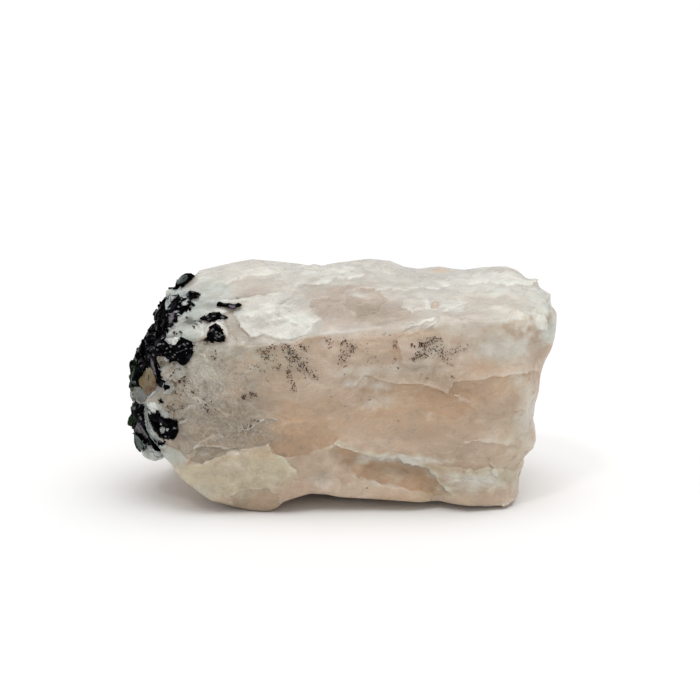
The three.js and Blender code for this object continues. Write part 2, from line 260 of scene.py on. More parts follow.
def worked(mesh, tree, inputs, name):
    """The mesh after a Geometry Nodes tree, whose inputs are set by their sockets' identifiers."""
    obj = placed(name + "_raw", mesh)
    modifier = obj.modifiers.new(tree.name, "NODES")
    modifier.node_group = tree
    for item in tree.interface.items_tree:
        if item.in_out == "INPUT" and item.name in inputs:
            modifier[item.identifier] = inputs[item.name]
    return finished_mesh(obj, name)


def sharpen(mesh, degrees):
    """Smooth faces, with a crisp edge wherever two meet at more than the angle."""
    bm = bmesh.new()
    bm.from_mesh(mesh)
    limit = math.radians(degrees)
    for face in bm.faces:
        face.smooth = True
    for edge in bm.edges:
        edge.smooth = len(edge.link_faces) == 2 and edge.calc_face_angle(0) < limit
    bm.to_mesh(mesh)
    bm.free()


# Node trees, for relief and for materials

def feed(socket, value):
    """Gives a socket a plain value, or links another node's output to it."""
    if isinstance(value, bpy.types.NodeSocket):
        socket.id_data.links.new(value, socket)
    else:
        socket.default_value = value


def plug(node, **inputs):
    """Feeds a node's inputs by name; _0 is the first."""
    for name, value in inputs.items():
        feed(node.inputs[int(name[1:]) if name[0] == "_" else name.replace("_", " ")], value)


def add_node(tree, kind, settings=None, **inputs):
    """A new node with its settings and inputs."""
    node = tree.nodes.new(kind)
    for name, value in (settings or {}).items():
        setattr(node, name, value)
    plug(node, **inputs)
    return node


class Wiring:
    """Writes arithmetic into a node tree."""

    def __init__(self, tree):
        self.tree = tree

    def sum(self, operation, *terms):
        """One step of arithmetic on numbers."""
        inputs = {f"_{i}": term for i, term in enumerate(terms)}
        return add_node(self.tree, "ShaderNodeMath", {"operation": operation}, **inputs).outputs[0]

    def plus(self, *terms):
        """All the numbers added up."""
        return reduce(lambda total, term: self.sum("ADD", total, term), terms)

    def times(self, *terms):
        """All the numbers multiplied."""
        return reduce(lambda total, term: self.sum("MULTIPLY", total, term), terms)

    def minus(self, whole, part):
        """One number less another."""
        return self.sum("SUBTRACT", whole, part)

    def vector(self, operation, *terms):
        """One step of arithmetic on places or directions."""
        inputs = {f"_{i}": term for i, term in enumerate(terms)}
        node = add_node(self.tree, "ShaderNodeVectorMath", {"operation": operation}, **inputs)
        return node.outputs["Value" if operation == "DOT_PRODUCT" else "Vector"]

    def stretched(self, place, share):
        """A place with a share of its x, so that a pattern on it is drawn out along x."""
        return self.vector("MULTIPLY", place, (share, 1.0, 1.0))

    def scaled(self, vector, amount):
        """A direction or a colour times a number."""
        return add_node(
            self.tree, "ShaderNodeVectorMath", {"operation": "SCALE"}, _0=vector, Scale=amount
        ).outputs[0]

    def ramp(self, value, low, high, to_low=0.0, to_high=1.0):
        """A value taken from one range to another, softly, and held at the ends."""
        return add_node(
            self.tree, "ShaderNodeMapRange", {"interpolation_type": "SMOOTHSTEP"},
            _0=value, _1=low, _2=high, _3=to_low, _4=to_high,
        ).outputs[0]

    def noise(self, vector, size, detail=3.0, roughness=0.5, colour=False):
        """Noise with lumps of about the given size, in metres."""
        node = add_node(
            self.tree, "ShaderNodeTexNoise", {"noise_dimensions": "3D"},
            Vector=vector, Scale=1 / size, Detail=detail, Roughness=roughness,
        )
        return node.outputs["Color" if colour else 0]

    def centred(self, vector):
        """A colour of 0 to 1 as a direction of -0.5 to 0.5."""
        return self.vector("SUBTRACT", vector, (0.5, 0.5, 0.5))

    def warped(self, place, size, amount, detail=2.0):
        """A place pushed about by noise, by up to about half the amount."""
        push = self.centred(self.noise(place, size, detail, colour=True))
        return self.vector("ADD", place, self.scaled(push, amount))

    def mix(self, amount, first, second):
        """A colour mix; the amount is a number or an output."""
        node = add_node(self.tree, "ShaderNodeMix", {"data_type": "RGBA"}, _0=amount)
        for socket, value in ((node.inputs[6], first), (node.inputs[7], second)):
            feed(socket, (*value, 1) if isinstance(value, tuple) else value)
        return node.outputs[2]

    def layered(self, colour, layers):
        """A colour with others laid over it, one after another, each with its amount."""
        for amount, over in layers:
            colour = self.mix(amount, colour, over)
        return colour

    def field(self, name):
        """A number that is stored on the points, as a material reads it."""
        return add_node(self.tree, "ShaderNodeAttribute", {"attribute_name": name}).outputs["Fac"]

    def cells(self, place, size):
        """Cells of about the given size, and a chance for each."""
        scale = self.sum("DIVIDE", 1.0, size) if isinstance(size, bpy.types.NodeSocket) else 1 / size
        cells = add_node(
            self.tree, "ShaderNodeTexVoronoi", {"voronoi_dimensions": "3D", "feature": "F1"},
            Vector=place, Scale=scale, Randomness=1.0,
        ).outputs
        return cells, add_node(self.tree, "ShaderNodeSeparateXYZ", _0=cells["Color"]).outputs[0]

    def flat_faces(self, place, size, slope):
        """Height of small flat faces, each leaning its own way, and a chance for each."""
        cells, chance = self.cells(place, size)
        lean = self.scaled(self.centred(cells["Color"]), 2 * slope)
        rel = self.vector("SUBTRACT", place, cells["Position"])
        return self.vector("DOT_PRODUCT", rel, lean), chance


def geometry_tree(name, numbers):
    """An empty Geometry Nodes tree with one mesh through it and named number inputs."""
    tree = bpy.data.node_groups.new(name, "GeometryNodeTree")
    tree.interface.new_socket("Mesh", in_out="INPUT", socket_type="NodeSocketGeometry")
    for label, value in numbers.items():
        socket = tree.interface.new_socket(label, in_out="INPUT", socket_type="NodeSocketFloat")
        socket.default_value = value
    tree.interface.new_socket("Mesh", in_out="OUTPUT", socket_type="NodeSocketGeometry")
    return tree, tree.nodes.new("NodeGroupInput").outputs, tree.nodes.new("NodeGroupOutput").inputs


def named_input(tree, name, kind="FLOAT"):
    """A value that is stored on the points, as a Geometry Nodes tree reads it."""
    node = add_node(tree, "GeometryNodeInputNamedAttribute", {"data_type": kind}, Name=name)
    return node.outputs["Attribute"]


def stored(tree, geometry, name, value):
    """The same geometry with one more number kept on its points."""
    return add_node(
        tree, "GeometryNodeStoreNamedAttribute", {"data_type": "FLOAT", "domain": "POINT"},
        Geometry=geometry, Name=name, Value=value,
    ).outputs[0]


def raised(w, geometry, height):
    """The same geometry with its points moved out by a height."""
    way = w.tree.nodes.new("GeometryNodeInputNormal").outputs[0]
    moved = add_node(w.tree, "GeometryNodeSetPosition", Geometry=geometry, Offset=w.scaled(way, height))
    return moved.outputs[0]


def chance_vector(tree, low, high, seed):
    """Three numbers by chance for each point."""
    return add_node(
        tree, "FunctionNodeRandomValue", {"data_type": "FLOAT_VECTOR"}, _0=low, _1=high, Seed=seed
    ).outputs[0]


def turned(tree, angles):
    """A turn from three angles."""
    return add_node(tree, "FunctionNodeEulerToRotation", _0=angles).outputs[0]


def close_tree(tree, geometry, out, material):
    """Ends a Geometry Nodes tree: its copies made real, and one material on them."""
    real = add_node(tree, "GeometryNodeRealizeInstances", _0=geometry).outputs[0]
    done = add_node(tree, "GeometryNodeSetMaterial", Geometry=real, Material=material).outputs[0]
    tree.links.new(done, out["Mesh"])


# Materials

def new_material(name):
    """A node material, its wiring and its shader."""
    mat = bpy.data.materials.new(name)
    mat.use_nodes = True
    return mat, Wiring(mat.node_tree), mat.node_tree.nodes["Principled BSDF"]


def own_place(w):
    """The place on the object, in metres."""
    return add_node(w.tree, "ShaderNodeTexCoord").outputs["Object"]


def bumped(w, height, strength, distance=1.0):
    """The way that the surface faces, after fine relief."""
    bump = add_node(w.tree, "ShaderNodeBump", Strength=strength, Distance=distance, Height=height)
    return bump.outputs[0]


# Colours that the stone's fields lay over its two browns, one over the other in this order
TINT_COLOURS = {
    # painted light: the top-facing stone made paler and cooler, as if lit from above
    "top_facing_painted_light": (0.59, 0.56, 0.505),
    "lilac": (0.47, 0.39, 0.32),
    "blush": (0.64, 0.50, 0.385),
    "stain": (0.52, 0.352, 0.22),
    "cream": (0.53, 0.475, 0.34),
    "dove": (0.39, 0.358, 0.29),
    # darker tone, partly painted shade beside steps, under rims and in hollows
    "dim": (0.31, 0.248, 0.175),
    "ice": (0.46, 0.49, 0.445),
    "grey_green": (0.118, 0.124, 0.108),
    "amber": (0.155, 0.105, 0.038),
    "resin": (0.12, 0.05, 0.006),
    "milk": (0.60, 0.55, 0.465),
    "frost": (0.73, 0.73, 0.665),
}


def veil(w, place, size, width):
    """Thin light sheets inside the stone, so far apart and so wide."""
    ridge = w.sum("ABSOLUTE", w.minus(w.noise(place, size, 4, 0.55), 0.5))
    return w.ramp(ridge, 0.0, width, 1.0, 0.0)


def streaks(w, place, turn, size):
    """Fine streaks over the front, turned by so many degrees from level, rising to the right."""
    turn = math.radians(turn)
    along = RIGHT * math.cos(turn) + UP * math.sin(turn)
    aside = UP * math.cos(turn) - RIGHT * math.sin(turn)
    flat = add_node(
        w.tree, "ShaderNodeCombineXYZ",
        _0=w.times(w.vector("DOT_PRODUCT", place, tuple(along)), 0.12),
        _1=w.vector("DOT_PRODUCT", place, tuple(aside)), _2=turn,
    ).outputs[0]
    return w.ramp(w.noise(flat, size, 3, 0.6), 0.38, 0.66)


def quartz_material():
    """Milky quartz: brown and grey clouds, white veils, mottling, and broken edges with a painted glow
    where they stand out and painted shade in their creases.
    """
    mat, w, shader = new_material("milky_quartz")
    place = own_place(w)
    veined, top_facing_painted_light, soot, edge = (w.field(name) for name in ("veined", "top_facing_painted_light", "soot", "edge"))
    cloudy = w.warped(w.warped(w.stretched(place, 0.45), 14 * MM, 12 * MM), 3 * MM, 2.4 * MM)
    cloud = w.noise(cloudy, 9 * MM, 6, 0.52)
    mottle = w.noise(w.stretched(w.warped(place, 6 * MM, 6 * MM), 0.7), 3 * MM, 4, 0.5)
    speckle = w.noise(place, 0.5 * MM, 2, 0.8)
    waving = w.warped(place, 11 * MM, 4 * MM)
    falling = w.times(w.minus(streaks(w, waving, -26, 0.8 * MM), 0.4), w.field("falling"))
    rising = w.times(w.minus(streaks(w, waving, 36, 0.8 * MM), 0.4), w.field("rising"))
    fibres = w.plus(falling, rising)

    # the two browns of the stone, and the tints over them, each with a clouded rim; the top-facing tint is
    # painted light from above, and the dim tint is partly painted shade
    colour = w.mix(w.ramp(cloud, 0.32, 0.68), (0.465, 0.349, 0.25), (0.60, 0.474, 0.36))
    uneven = w.times(w.minus(w.plus(cloud, mottle), 1.0), 0.9)
    for name, tint in TINT_COLOURS.items():
        amount = w.ramp(w.plus(w.field(name), uneven), 0.1, 0.95)
        present = w.ramp(w.field(name), 0.0, 0.2)
        colour = w.mix(w.times(amount, present), colour, tint)

    # lighter and darker places, from large blotches down to specks
    blotches = w.noise(w.warped(place, 4 * MM, 3 * MM), 3.6 * MM, 4, 0.55)
    tone = w.plus(w.ramp(blotches, 0.42, 0.58, -0.5, 0.5), w.ramp(mottle, 0.38, 0.62, -0.3, 0.3))
    tone = w.times(tone, w.plus(0.03, w.times(veined, 0.19)))
    grainy = w.plus(0.3, w.times(veined, 0.5))
    chip, layer = w.field("chip"), w.field("layer")
    for varied, depth in ((mottle, 0.16), (speckle, grainy), (chip, 0.05), (layer, 0.09)):
        tone = w.plus(tone, w.times(w.minus(varied, 0.5), depth))
    colour = w.scaled(colour, w.plus(1.0, w.plus(tone, w.times(fibres, 0.2))))

    # white veils and wisps in the milky stone, cracks, dots, painted sparkles, and a painted glow on edges
    # that stand out with painted shade in the creases
    clear = w.plus(*(w.field(name) for name in ("amber", "grey_green", "resin")))
    milky = w.minus(1.0, w.sum("MINIMUM", clear, 0.9))
    streaked = w.stretched(w.warped(place, 9 * MM, 7 * MM), 0.22)
    veils = w.times(veil(w, cloudy, 6 * MM, 0.04), w.ramp(mottle, 0.40, 0.62))
    wisps = w.times(veil(w, streaked, 1.8 * MM, 0.05), w.ramp(cloud, 0.46, 0.62))
    feathers = w.times(veil(w, w.warped(place, 3 * MM, 3 * MM), 1.7 * MM, 0.07), veined)
    cloudy_white = w.times(w.ramp(mottle, 0.56, 0.80), w.plus(0.45, veined))
    cracks = w.times(veil(w, w.warped(place, 5 * MM, 5 * MM), 3.1 * MM, 0.02), veined)
    dots = w.times(w.ramp(w.noise(place, 0.75 * MM, 1), 0.66, 0.71), veined)
    # painted sparkles: tiny white highlights in the veined stone
    painted_sparkles = w.times(w.ramp(w.noise(waving, 0.65 * MM, 1), 0.66, 0.71), veined)
    white = (0.80, 0.78, 0.73)
    colour = w.layered(colour, (
        (w.times(veils, 0.17, milky), white),
        (w.times(wisps, 0.06, milky), white),
        (w.times(feathers, 0.24, milky), white),
        (w.times(cloudy_white, 0.24, milky), white),
        (w.times(cracks, 0.3), (0.22, 0.18, 0.13)),
        (w.times(w.ramp(fibres, 0.25, 0.6, 0.0, 0.35), milky), (0.82, 0.82, 0.77)),
        (w.times(dots, 0.7), (0.16, 0.14, 0.10)),
        (w.times(painted_sparkles, 0.3, milky), (0.86, 0.86, 0.82)),
        # painted glow on edges that stand out, and painted shade in the creases
        (w.times(w.ramp(edge, 0.35, 1.6, 0.0, 0.5), milky), (0.84, 0.83, 0.78)),
        (w.times(w.ramp(edge, -0.4, -1.6), w.minus(0.45, w.times(top_facing_painted_light, 0.25))), (0.28, 0.225, 0.165)),
        (soot, (0.005, 0.004, 0.006)),
    ))

    # fine relief, softer on the top, and crystal faces where the crust thins out
    big_faces, _ = w.flat_faces(w.stretched(cloudy, 0.8), 2.6 * MM, 0.16)
    small_faces, _ = w.flat_faces(w.warped(place, 2 * MM, 1 * MM), 0.9 * MM, 0.14)
    small_faces = w.times(small_faces, w.minus(1.0, w.times(top_facing_painted_light, 0.8)))
    crystal_faces, _ = w.flat_faces(w.warped(place, 2 * MM, 1 * MM), 1.1 * MM, 0.9)
    fine = w.times(w.plus(speckle, w.times(mottle, 2.0)), 0.06 * MM)
    fine = w.plus(fine, w.times(fibres, 0.12 * MM))
    relief = w.plus(fine, w.times(w.plus(big_faces, small_faces), w.ramp(cloud, 0.35, 0.6)))
    relief = w.plus(relief, w.times(crystal_faces, soot))
    plug(
        shader,
        Base_Color=colour,
        Roughness=w.minus(w.ramp(mottle, 0.3, 0.7, 0.24, 0.42), w.times(top_facing_painted_light, 0.04)),
        Normal=bumped(w, relief, w.minus(0.5, w.times(top_facing_painted_light, 0.28))),
        IOR=1.54,
        Specular_IOR_Level=w.minus(0.5, w.times(soot, 0.48)),
        Subsurface_Weight=w.times(milky, 0.85, w.minus(1.0, soot)),
        Subsurface_Radius=(1.0, 0.8, 0.62),
        Subsurface_Scale=6 * MM,
    )
    return mat


def speck_material():
    """Tiny dark olive grains, some of them rusty."""
    mat, w, shader = new_material("dark_grains")
    shade = w.noise(own_place(w), 0.7 * MM, 2)
    colour = w.mix(w.ramp(shade, 0.42, 0.64), (0.018, 0.011, 0.008), (0.13, 0.088, 0.045))
    colour = w.mix(w.field("rust"), colour, (0.055, 0.017, 0.008))
    rough = w.ramp(shade, 0.3, 0.7, 0.35, 0.6)
    plug(shader, Base_Color=colour, Roughness=rough, Normal=bumped(w, shade, 0.4, 0.2 * MM))
    return mat


def plain_material(name, colour, rough):
    """One colour all over."""
    mat, _, shader = new_material(name)
    plug(shader, Base_Color=(*colour, 1), Roughness=rough)
    return mat


def tourmaline_material(name, dark, pale, green):
    """Near-black crystal with painted highlights on small faces, fine lines along it, and moss-green
    crumbs.
    """
    mat, w, shader = new_material(name)
    place = own_place(w)
    grain = add_node(w.tree, "ShaderNodeAttribute", {"attribute_name": "grain"}).outputs["Vector"]
    flecked_with_painted_glints, painted_silver_sheen, painted_teal_sheen = (w.field(name) for name in ("flecked_with_painted_glints", "painted_silver_sheen", "painted_teal_sheen"))
    lines = w.noise(w.stretched(grain, 0.05), 0.35 * MM, 3, 0.6)
    mottle = w.noise(place, 1.5 * MM, 4, 0.6)
    long_grain = w.stretched(grain, 0.45)
    wide_faces, wide_chance = w.flat_faces(long_grain, 1.1 * MM, 0.3)
    fine_faces, fine_chance = w.flat_faces(w.warped(long_grain, 1 * MM, 0.5 * MM), 0.42 * MM, 0.35)
    mossy = w.times(w.ramp(mottle, 0.42, 0.6), w.plus(green, w.field("moss")))
    # painted highlights: dull and bright glints, and below them the silver and teal sheen faces and the lit
    # places
    dull_glint = w.times(w.ramp(wide_chance, 0.91, 0.93), w.ramp(lines, 0.4, 0.6))
    bright_chance = w.plus(fine_chance, w.times(flecked_with_painted_glints, 0.115))
    glint = w.times(w.ramp(bright_chance, 0.972, 0.982), w.ramp(mottle, 0.46, 0.54))
    colour = w.mix(w.ramp(w.times(wide_chance, mottle), 0.15, 0.5), dark, pale)
    colour = w.layered(colour, (
        (w.sum("MINIMUM", mossy, 1.0), (0.024, 0.046, 0.019)),
        (w.times(dull_glint, 0.7), (0.035, 0.03, 0.041)),
        (w.times(glint, w.minus(0.8, w.times(flecked_with_painted_glints, 0.35))), (0.24, 0.235, 0.25)),
        (w.times(painted_silver_sheen, w.ramp(lines, 0.36, 0.6, 0.35, 1.0)), (0.19, 0.175, 0.195)),
        (w.times(painted_teal_sheen, w.ramp(mottle, 0.34, 0.56, 0.7, 1.0)), (0.15, 0.18, 0.168)),
        (w.field("lit"), (0.36, 0.355, 0.39)),
    ))
    uneven = w.minus(1.0, w.times(w.sum("MAXIMUM", painted_silver_sheen, painted_teal_sheen), 0.8))
    relief = w.plus(w.times(w.plus(wide_faces, fine_faces), 0.6), w.times(lines, 0.03 * MM))
    plug(
        shader,
        Base_Color=colour,
        Roughness=w.ramp(mottle, 0.3, 0.7, 0.1, 0.26),
        Normal=bumped(w, w.times(relief, uneven), 0.9),
        IOR=1.62,
        Specular_IOR_Level=0.009,
    )
    return mat


quartz_finish = quartz_material()
speck_finish = speck_material()
black_finish = tourmaline_material(
    "black_tourmaline", dark=(0.001, 0.0006, 0.0012), pale=(0.003, 0.0023, 0.0037), green=0.04
)
green_finish = tourmaline_material(
    "green_tourmaline", dark=(0.02, 0.026, 0.014), pale=(0.07, 0.08, 0.045), green=0.8
)


# The fracture of broken quartz: shallow bowls that meet in ridges, and fine fibres

def seeded(w, place, seed):
    """A place moved by a seed, so that another seed gives another pattern."""
    return w.vector("ADD", place, w.scaled((1.0, 1.0, 1.0), seed))


def bowls(w, place, size, seed):
    """Height of shallow bowls of about the given size, 0 in their middles and highest where they meet."""
    moved = seeded(w, place, seed)
    cells, chance = w.cells(moved, size)
    away = cells["Distance"]
    depth = w.ramp(w.noise(moved, 16 * MM, 1), 0.35, 0.65, 0.4, 1.2)
    return w.times(away, away, depth), chance


def fracture_tree(material):
    """Bowls, chips, swells and fibres, as deep as the stone's "broken" field lets them be."""
    tree, given, out = geometry_tree(
        "fracture_relief",
        {"Bowl size": 15 * MM, "Bowl depth": 1.5 * MM, "Chip size": 4.5 * MM, "Chip depth": 0.36 * MM,
         "Swell": 0.9 * MM, "Fibre depth": 0.06 * MM, "Layers": 6.0, "Layer depth": 0.24 * MM, "Seed": 3.0},
    )
    w = Wiring(tree)
    place = tree.nodes.new("GeometryNodeInputPosition").outputs[0]
    long_place = w.stretched(place, 0.55)
    ragged = w.warped(w.warped(long_place, 12 * MM, 9 * MM), 3 * MM, 1.5 * MM)

    big, chance = bowls(w, ragged, given["Bowl size"], given["Seed"])
    small, _ = bowls(w, w.warped(ragged, 2 * MM, 1 * MM), given["Chip size"], given["Seed"])
    small = w.times(small, w.ramp(w.noise(place, 14 * MM, 2), 0.4, 0.6))
    swell = w.minus(w.noise(place, 14 * MM, 4, 0.55), 0.5)
    strands = w.stretched(w.warped(place, 12 * MM, 4 * MM), 0.12)
    fibres = w.minus(w.noise(strands, 1.7 * MM, 3), 0.5)
    layered = w.warped(w.warped(long_place, 16 * MM, 14 * MM), 4 * MM, 2.5 * MM)
    level = w.times(w.noise(layered, 13 * MM, 2), given["Layers"])
    layer = w.minus(w.sum("FRACT", level), 0.5)
    layer = w.times(layer, w.ramp(w.noise(place, 18 * MM, 1), 0.42, 0.56))
    height = w.times(big, given["Bowl depth"])
    depths = {"Layer depth": layer, "Chip depth": small, "Swell": swell, "Fibre depth": fibres}
    for depth, form in depths.items():
        height = w.plus(height, w.times(form, given[depth]))

    moved = raised(w, given["Mesh"], w.times(named_input(tree, "broken"), height))
    kept = stored(tree, moved, "chip", chance)
    close_tree(tree, stored(tree, kept, "layer", w.plus(layer, 0.5)), out, material)
    return tree


# Forms and tints laid on the front, where the photograph shows them. A line runs from left to
# right; the stone under it stands out by rise, in millimetres, and that fades over so many pixels.
# under and over give tints that start crisply at the line: how strong, and over how many pixels. The light
# lips over the steps are partly painted highlight, and the dim bands beside them are painted shade.

LEDGES = [
    # the bright frosted flake, crisp along its lower edge
    dict(line=[(236, 312), (239, 320), (241, 326), (246.5, 333), (251.5, 338), (258, 335.6), (264, 334.6),
        (271, 336), (280, 339.6), (287, 339), (295, 336.6), (303, 334.6), (308, 333), (310.5, 330),
        (311, 326.5), (316, 324), (320, 319.5), (321, 312)], rise=-0.45, fade=14, ends=8,
        over={"frost": (0.5, 50)}, under={"dim": (0.12, 8)}),
    # the low ridge inside it
    dict(line=[(262, 315), (268, 313), (274, 312), (280, 314), (286, 318), (290, 322), (298, 324)],
        rise=-0.25, fade=7, ends=6, over={"frost": (0.35, 6)}, under={"dove": (0.22, 12)}),
    # the lobe at the lower left
    dict(line=[(178, 469), (190, 465), (205, 463), (213, 459), (220, 453), (228, 451), (240, 450),
        (249, 449), (268, 444), (272, 452), (282, 456), (287, 463), (297, 470), (300, 486)], rise=0.3,
        fade=30, ends=10, under={"cream": (0.5, 70), "frost": (0.2, 5)}, over={"dim": (0.4, 6)}),
    # the pale plane left of it, over the heel of the stone
    dict(line=[(156, 444), (170, 447), (182, 451), (186, 459), (192, 464)], rise=0.25, fade=18, ends=5,
        under={"ice": (0.6, 24), "frost": (0.25, 9)}, over={"dim": (0.3, 6)}),
    # the plane over the lobe, darkened as painted shade under its cracked rim
    dict(line=[(186, 455), (191, 450.4), (198, 448), (206, 446.4), (216, 447), (222, 448.6), (230, 449.4),
        (240, 446)], rise=-0.35, fade=12, ends=5, under={"dim": (0.8, 4)}, over={"frost": (0.4, 3)}),
    # the brown scoop: its upper edge with a light lip over it, and the light floor under it
    dict(line=[(330, 443), (349, 450), (365, 454), (377, 458), (398, 458), (404, 463), (428, 469),
        (436, 477), (441, 486), (453, 495)], rise=-1.5, fade=24, ends=8, under={"stain": (0.3, 20)},
        over={"cream": (0.7, 9), "frost": (0.45, 8)}),
    dict(line=[(349, 471), (362, 480), (379, 482), (391, 487), (410, 490), (436, 493)], rise=0.5, fade=20,
        ends=8, under={"cream": (0.2, 10)}),
    # the light plane right of the scoop
    dict(line=[(425, 462), (441, 465), (460, 468), (490, 468), (520, 470)], rise=0.4, fade=30, ends=14,
        under={"cream": (0.4, 26)}),
    dict(line=[(442, 478), (458, 478), (474, 479), (489, 485), (500, 489)], rise=0.4, fade=18, ends=8,
        over={"frost": (0.2, 6)}),
    # the brown band over the middle, with a notch in its edge
    dict(line=[(354, 388), (360, 380), (367, 375), (379, 380), (391, 384), (405, 383), (428, 386),
        (442, 390), (449, 394), (453, 382), (472, 380), (489, 378), (530, 371), (545, 371)], rise=-0.5,
        fade=30, ends=6, under={"stain": (0.6, 46)}, over={"blush": (0.4, 12)}),
    # the brown patch left of the middle, crisp at its foot
    dict(line=[(268, 440), (275, 452), (284, 458), (298, 456), (315, 451), (328, 447), (341, 437)],
        rise=0.3, fade=16, ends=6, over={"stain": (0.8, 44), "dim": (0.15, 24)},
        under={"cream": (0.35, 16)}),
    # a step across the right
    dict(line=[(458, 444), (472, 442), (489, 442), (508, 444), (524, 447)], rise=-0.4, fade=14, ends=10,
        over={"frost": (0.25, 10)}, under={"dim": (0.2, 12)}),
    # the peach plane with the grains, and the lighter plane to its right
    dict(line=[(396, 336), (400, 350), (404, 363), (412, 365), (422, 367)], rise=-0.3, fade=10, ends=6,
        over={"blush": (0.5, 30)}, under={"stain": (0.5, 12)}),
    # the white ledge at the top right, out to the small spike
    dict(line=[(464, 284), (480, 282), (500, 284), (520, 284), (538, 281), (546, 286)], rise=-0.4,
        fade=14, ends=8, over={"frost": (0.5, 12)}, under={"dim": (0.2, 8)}),
    # the crease along the ridge
    dict(line=[(205, 344), (227, 343), (250, 346), (270, 344), (290, 340), (312, 334), (339, 331),
        (364, 329), (399, 326), (425, 322), (450, 320), (490, 320), (519, 318), (540, 326)], rise=0.2,
        fade=10, ends=20, over={"frost": (0.3, 8)}),
    # the edge of the facet left of the flake
    dict(line=[(222, 316), (228, 328), (236, 340), (249, 344)], rise=0.4, fade=12, ends=5,
        over={"frost": (0.3, 10)}, under={"dim": (0.3, 8)}),
    # creases over the upper left, and low steps over the crown of the stone
    dict(line=[(200, 301), (216, 299), (236, 300), (262, 296), (290, 290)], rise=0.35, fade=10, ends=14,
        over={"dim": (0.25, 8)}, under={"frost": (0.25, 14)}),
    dict(line=[(212, 284), (232, 281), (250, 275), (266, 276), (284, 271)], rise=-0.3, fade=10, ends=12,
        over={"frost": (0.3, 8)}, under={"lilac": (0.3, 10)}),
    dict(line=[(292, 287), (306, 283), (322, 284), (336, 278), (352, 279), (370, 274)], rise=-0.4,
        fade=10, ends=10, over={"frost": (0.35, 9)}, under={"dim": (0.3, 7)}),
    dict(line=[(372, 291), (388, 288), (402, 291), (418, 286), (436, 288), (452, 284)], rise=-0.35,
        fade=9, ends=10, over={"frost": (0.35, 8)}, under={"dim": (0.25, 7)}),
    # fine white needles and creases by the pocket
    dict(line=[(400, 332), (412, 327), (424, 323), (438, 318)], rise=-0.3, fade=6, ends=6,
        over={"frost": (0.6, 4)}, under={"dim": (0.2, 4)}),
    dict(line=[(404, 338), (418, 331), (430, 326), (441, 320)], rise=-0.25, fade=5, ends=6,
        over={"frost": (0.6, 3)}),
    dict(line=[(440, 312), (452, 309), (463, 304), (470, 300)], rise=-0.2, fade=8, ends=6,
        over={"frost": (0.3, 8)}, under={"dim": (0.15, 6)}),
    # cracks and steps over the grey left part
    dict(line=[(196, 350), (206, 357), (214, 368), (219, 380), (228, 388)], rise=0.25, fade=8, ends=8,
        over={"dim": (0.35, 9)}, under={"cream": (0.35, 8)}),
    dict(line=[(186, 394), (200, 398), (214, 408), (232, 412), (250, 410)], rise=0.25, fade=8, ends=8,
        over={"dim": (0.35, 9)}, under={"frost": (0.2, 7)}),
    dict(line=[(222, 434), (236, 432), (248, 430), (256, 424), (266, 419), (284, 419)], rise=-0.3, fade=7,
        ends=8, over={"frost": (0.45, 3)}, under={"dim": (0.45, 8)}),
    dict(line=[(184, 458), (193, 450), (200, 441), (210, 435), (222, 432)], rise=0.25, fade=8, ends=8,
        over={"dim": (0.4, 9)}, under={"frost": (0.4, 4)}),
    dict(line=[(204, 443), (214, 441), (226, 436), (238, 434)], rise=-0.2, fade=6, ends=6,
        over={"frost": (0.3, 3)}, under={"dim": (0.3, 7)}),
    # the small jagged step at the right foot
    dict(line=[(487, 455), (492, 459), (489, 463), (494, 467), (491, 473), (497, 477)], rise=-0.35,
        fade=8, ends=3, over={"frost": (0.35, 7)}, under={"dim": (0.2, 5)}),
]

# Round forms: place, half width and half height in pixels, turn in degrees, how far they stand out
# in millimetres, which is less than 0 for a hollow, and tints
LUMPS = [
    ((185, 335), (20, 10), -4, 1.1, {"ice": 0.8, "frost": 0.15}),
    ((195, 317), (17, 8), -12, 0.7, {"ice": 0.9}),
    ((175, 293), (12, 4.5), -8, 0.7, {"frost": 0.55}),
    ((173, 371), (14, 10), 14, 1.0, {"ice": 0.5, "dim": 0.3}),
    ((168, 404), (22, 19), 20, 1.0, {"dove": 0.7, "dim": 0.2}),
    ((150, 452), (13, 7), 8, 0.6, {"ice": 0.9, "frost": 0.1}),
    ((539, 323), (5.5, 7), -20, 0.5, {"frost": 0.6}),
    ((538, 296), (13, 8), 20, 0.5, {"frost": 0.4, "ice": 0.3}),
    ((545, 322), (14, 22), -8, 0.6, {"ice": 0.5, "frost": 0.2}),
    ((362, 382), (9, 5), -20, 0.3, {"frost": 0.3}),
    ((390, 268), (18, 6), 14, 0.4, {"frost": 0.2}),
    ((442, 270), (18, 5), 0, 0.4, {"blush": 0.7}),
    ((436, 304), (5, 4), 0, -0.9, {"blush": 0.8}),
    ((430, 306), (9, 3), 28, -0.4, {"frost": 0.8}),
]

